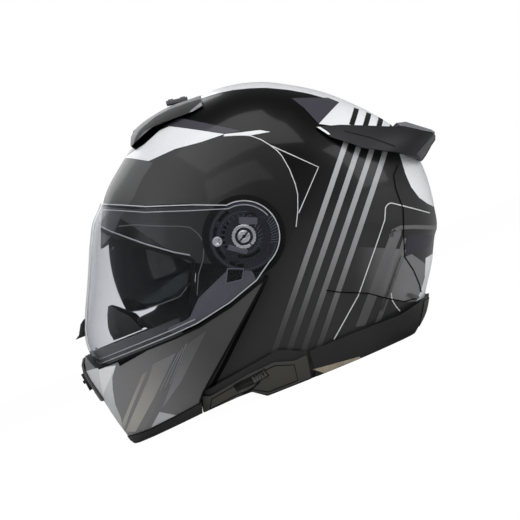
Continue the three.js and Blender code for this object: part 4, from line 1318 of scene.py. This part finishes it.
def swept(section, places, mirror):
    """Points and faces of a cross section carried along the strap."""
    points, faces = [], []
    for at in places:
        here, across, outward = strap_frame(at)
        for u, v in section:
            p = here + across * u + outward * v
            points.append((p.x * mirror, p.y, p.z))
    ring, steps = len(section), len(places) - 1
    for k in range(steps):
        for i in range(ring):
            j = (i + 1) % ring
            faces.append((k * ring + i, k * ring + j, k * ring + ring + j, k * ring + ring + i))
    faces.append(tuple(reversed(range(ring))))
    faces.append(tuple(range(steps * ring, steps * ring + ring)))
    if mirror < 0:
        faces = [face[::-1] for face in faces]
    return points, faces


def build_straps():
    """Woven band with raised edges, and two rows of stitches on it, on each side."""
    half, deep = STRAP_WIDTH / 2, STRAP_THICK / 2
    face = [(half, deep), (half * 0.8, deep - 0.25), (half * 0.76, deep - 0.1),
            (-half * 0.76, deep - 0.1), (-half * 0.8, deep - 0.25), (-half, deep)]
    section = [(half, -deep), *face, (-half, -deep)]
    stitch = [(0.35, 0), (0.25, 0.35), (-0.25, 0.35), (-0.35, 0)]
    for name, mirror in (("left", 1), ("right", -1)):
        places = [STRAP_END * k / STRAP_STEPS for k in range(STRAP_STEPS + 1)]
        strap = make_object("strap", *swept(section, places, mirror))
        round_edges(strap, 0.25)
        finish_piece(strap, f"strap_{name}", WEBBING, "shell", "webbing",
                     [f"chin_strap_{name}"])
        points, faces = [], []
        for row in (-STITCH_ROW, STITCH_ROW):
            for k in range(STITCHES):
                start = 0.3 + 7.2 * k / STITCHES
                outline = [(row + u, deep - 0.15 + v) for u, v in stitch]
                more, more_faces = swept(outline, [start, start + 0.05, start + 0.1], mirror)
                faces += [tuple(i + len(points) for i in face) for face in more_faces]
                points += more
        seams = make_object("seams", points, faces)
        finish_piece(seams, f"strap_stitches_{name}", SEWING, "shell", "webbing")


def solid_box(size, centre):
    (w, d, h), (x, y, z) = size, centre
    return block((x - w / 2, y - d / 2, z - h / 2), (x + w / 2, y + d / 2, z + h / 2))


def build_buckle():
    """Ratchet buckle: steel base with side cheeks and teeth, and a red lever."""
    y, z = BUCKLE_Y, BUCKLE_Z
    base = solid_box((30, 24, 1.6), (0, y, z - 2.4))
    for side in (-11, 11):
        join(base, solid_box((14, 1.6, 6), (-6, y + side, z + 0.4)))
    for k in range(7):
        cut(base, solid_box((0.8, 15, 1.2), (4 + 1.6 * k, y, z - 1.4)))
    for x in (-12.5, 13.2):
        cut(base, solid_box((1.6, 14, 6), (x, y, z - 2.4)))
    round_edges(base, 0.3)
    finish_piece(base, "buckle_frame", STEEL, "shell", "steel", ["buckle_base"])
    lever = solid_box((24, 18, 1.8), (2, y, z + 1.6))
    for k in range(5):
        cut(lever, solid_box((1.2, 14, 0.8), (4 + 2.2 * k, y, z + 2.5)))
    cut(lever, solid_box((6, 7, 6), (-4.5, y, z + 1.6)))
    round_edges(lever, 0.35)
    finish_piece(lever, "buckle_red_lever", RED, "lever_body", "red_plastic", ["buckle_lever"])


def build_foam():
    """Bead foam inside the shell and inside the chin bar."""
    liner = peel(SHELL, -SHELL_THICK - GAP - 1)
    keep(liner, peel(ROOM))
    cut(liner, peel(HEAD))
    cut(liner, slab([offset(FACE_OPENING, 3)]))
    keep(liner, heights(42))
    tidy_normals(liner, [SHELL, ROOM, HEAD])
    finish_piece(liner, "foam_shell", FOAM, "shell", "foam", ["foam_liner"])
    lower = layer(CHIN, -CHIN_THICK - GAP, -26)
    keep(lower, slab([[(-FAR, 16), (-104, 17), (-104, 61), (-FAR, 61)]]))
    upper = layer(VISOR, -VISOR_THICK - 5 - GAP, -24)
    keep(upper, slab([[(-FAR, 40), (-104, 40), (-104, 72), (-112, 86), (-FAR, 89)]]))
    join(lower, upper)
    tidy_normals(lower, [CHIN, VISOR])
    finish_piece(lower, "chin_foam_block", FOAM, "chin", "foam", ["chin_foam"])


# ------------------------------------------------------------------ small parts
SHUTTER_TILT, TOP_SLIDER_TILT = 0.12, math.atan(-0.163)


def tilted_box(size, centre, tilt):
    """Box turned about its own X axis."""
    (w, d, h), (x, y, z) = size, centre
    c, s = math.cos(tilt), math.sin(tilt)
    corners = [(-d / 2, -h / 2), (d / 2, -h / 2), (d / 2, h / 2), (-d / 2, h / 2)]
    outline = [(y + a * c - b * s, z + a * s + b * c) for a, b in corners]
    return slab([outline], x - w / 2, x + w / 2)


def build_front_parts():
    """Breath deflector, lower trim, release button and vent of the chin bar."""
    guard = functools.partial(skin, surface=VISOR, body="chin", slot="rubber_seal")
    guard("breath_guard", RUBBER_GREY, outer=-24, inner=-26.4, outlines=[DEFLECTOR_SIDE],
          low=-70, high=70, edge=0.6, replaces=["breath_deflector"])
    facet = [(-FAR, 96), (-124, 96), (-130, 108), (-FAR, 116)]
    for name, low, high in halves(10, 46.4):
        guard(f"breath_guard_facet_{name}", TRIM_GREY, outer=-23.8, inner=-24.6,
              outlines=[facet], low=low, high=high)

    trim = layer(CHIN, 0.8, -CHIN_THICK - 1)
    keep(trim, slab([CHIN_TRIM]))
    floor = peel(CHIN, -1)
    keep(floor, slab([[(-FAR, 1.2), (-139, 2.7), (-139, 5.7), (-FAR, 5.7)]]))
    join(trim, floor)
    cut(trim, block((-12.5, -156.5, -20), (12.5, -147.5, 20)))
    tidy_normals(trim, [CHIN])
    finish_piece(trim, "chin_lower_trim", TRIM, "chin", "black_trim", ["chin_trim"])
    button = solid_box((24, 8, 6), (0, -152, 5.4))
    for k in range(-3, 4):
        cut(button, solid_box((1.2, 6, 1.2), (3 * k, -152, 2.4)))
    round_edges(button, 0.5)
    finish_piece(button, "chin_release", RED, "button_body", "red_plastic", ["release_button"])

    vent = layer(CHIN, 2.6, GAP)
    keep(vent, slab([[(-FAR, 46), (-FAR, 87), (-150, 87), (-150, 46)]], -32, 32))
    cut(vent, slab([[(-FAR, 56), (-150, 56), (-150, 80), (-FAR, 80)]], -22, 22))
    tidy_normals(vent, [CHIN])
    round_edges(vent, 0.7)
    finish_piece(vent, "chin_vent_frame", SATIN_LIGHT, "chin", "satin_plastic", ["chin_vent"])
    shutter = tilted_box((40, 2, 16), (0, -182.8, 66.5), SHUTTER_TILT)
    for x in (-18, -12, 12, 18):
        cut(shutter, tilted_box((1.6, 2, 11), (x, -184, 66.5), SHUTTER_TILT))
    join(shutter, tilted_box((26, 2.4, 3), (0, -184.6, 67), SHUTTER_TILT))
    round_edges(shutter, 0.35)
    finish_piece(shutter, "chin_vent_shutter", TRIM, "chin_slider_body", "black_trim",
                 ["chin_vent_slider"])


def build_small_parts():
    """Visor's lift tab, rear exhaust slots and the top vent's ridged slider."""
    tab = slab([[(-165.5, 118.3), (-169.6, 115.3), (-174.4, 107), (-178.7, 104.3),
                 (-160, 104.3), (-160, 118.3)]], -9, 9)
    cut(tab, peel(VISOR, GAP))
    round_edges(tab, 0.7)
    finish_piece(tab, "visor_lift_tab", TRIM, "visor_body", "black_trim", ["visor_tab"])

    pill = [(103.4, 34.4), (106, 35.6), (113.8, 29.6), (113.4, 27.9), (111, 27.9)]
    for name, low, high in halves(5):
        skin(f"exhaust_{name}", GLOSS_TRIM, SHELL, GAP + 1.2, GAP, [rounded(pill, 1.5)],
             low, high, replaces=[f"rear_exhaust_{name}"], edge=0.4)

    def box(size, x, y, z):
        return tilted_box(size, (x, y - 18.5, z + 263.4), TOP_SLIDER_TILT)

    slider = box((24, 19, 3.4), 0, 0, 2.6)
    join(slider, box((22, 4.5, 3), 0, -5, 4.6))
    join(slider, box((22, 4.5, 3), 0, 5.6, 2.7))
    for x in (-7.5, -2.5, 2.5, 7.5):
        cut(slider, box((1.2, 8, 1.6), x, 0, 4))
    round_edges(slider, 0.5)
    finish_piece(slider, "brow_vent_slider", VENT_TOP, "top_slider_body", "black_trim",
                 ["top_vent_slider"])


def build_sun_slider():
    """Ribbed finger slider in the left skirt that works the sun visor."""
    length, height = SLIDER_SIZE
    slider = groove_block(SLIDER_TRAVEL / 2, length, height, 3.2, 6.2)
    for k in (-1.5, -0.5, 0.5, 1.5):
        cut(slider, groove_block(SLIDER_TRAVEL / 2 + 2.4 * k, 1.0, height + 2, 5.5, 8))
    round_edges(slider, 0.35)
    finish_piece(slider, "sun_slider_grip", TRIM_GREY, "sun_slider_body", "satin_plastic",
                 ["sun_visor_slider"])


# ------------------------------------------------------------------ everything together
def carry_over():
    """Materials for the CAD nodes that stay."""
    looks = {
        "shell_paint": SHELL_BLACK, "grey_paint": CHIN_GREY, "satin_plastic": SATIN,
        "black_trim": TRIM, "rubber_seal": RUBBER, "clear_lens": CLEAR, "smoked_lens": SMOKE,
        "foam": FOAM, "lining_fabric": KNIT, "neck_fabric": BEIGE, "webbing": WEBBING,
        "steel": STEEL, "red_plastic": RED,
    }
    slots = {part["node"]: part["material_slot"] for part in frame["record"]["subparts"]}
    for name, node in frame["nodes"].items():
        for material_slot in node.material_slots:
            material_slot.material = looks[slots[name]]


make_camera()
make_world()
make_floor()
make_lights()

carry_over()
build_shell()
build_areas()
build_lines()
build_stripes()
build_eyeport_lines()
build_skirts()
build_spoiler()
build_top_vent()
build_visor()
build_chin()
build_base_plate()
build_front_parts()
build_small_parts()
build_sun_slider()
build_foam()
build_cheek_pads()
build_crown_liner()
build_neck_roll()
build_straps()
build_buckle()
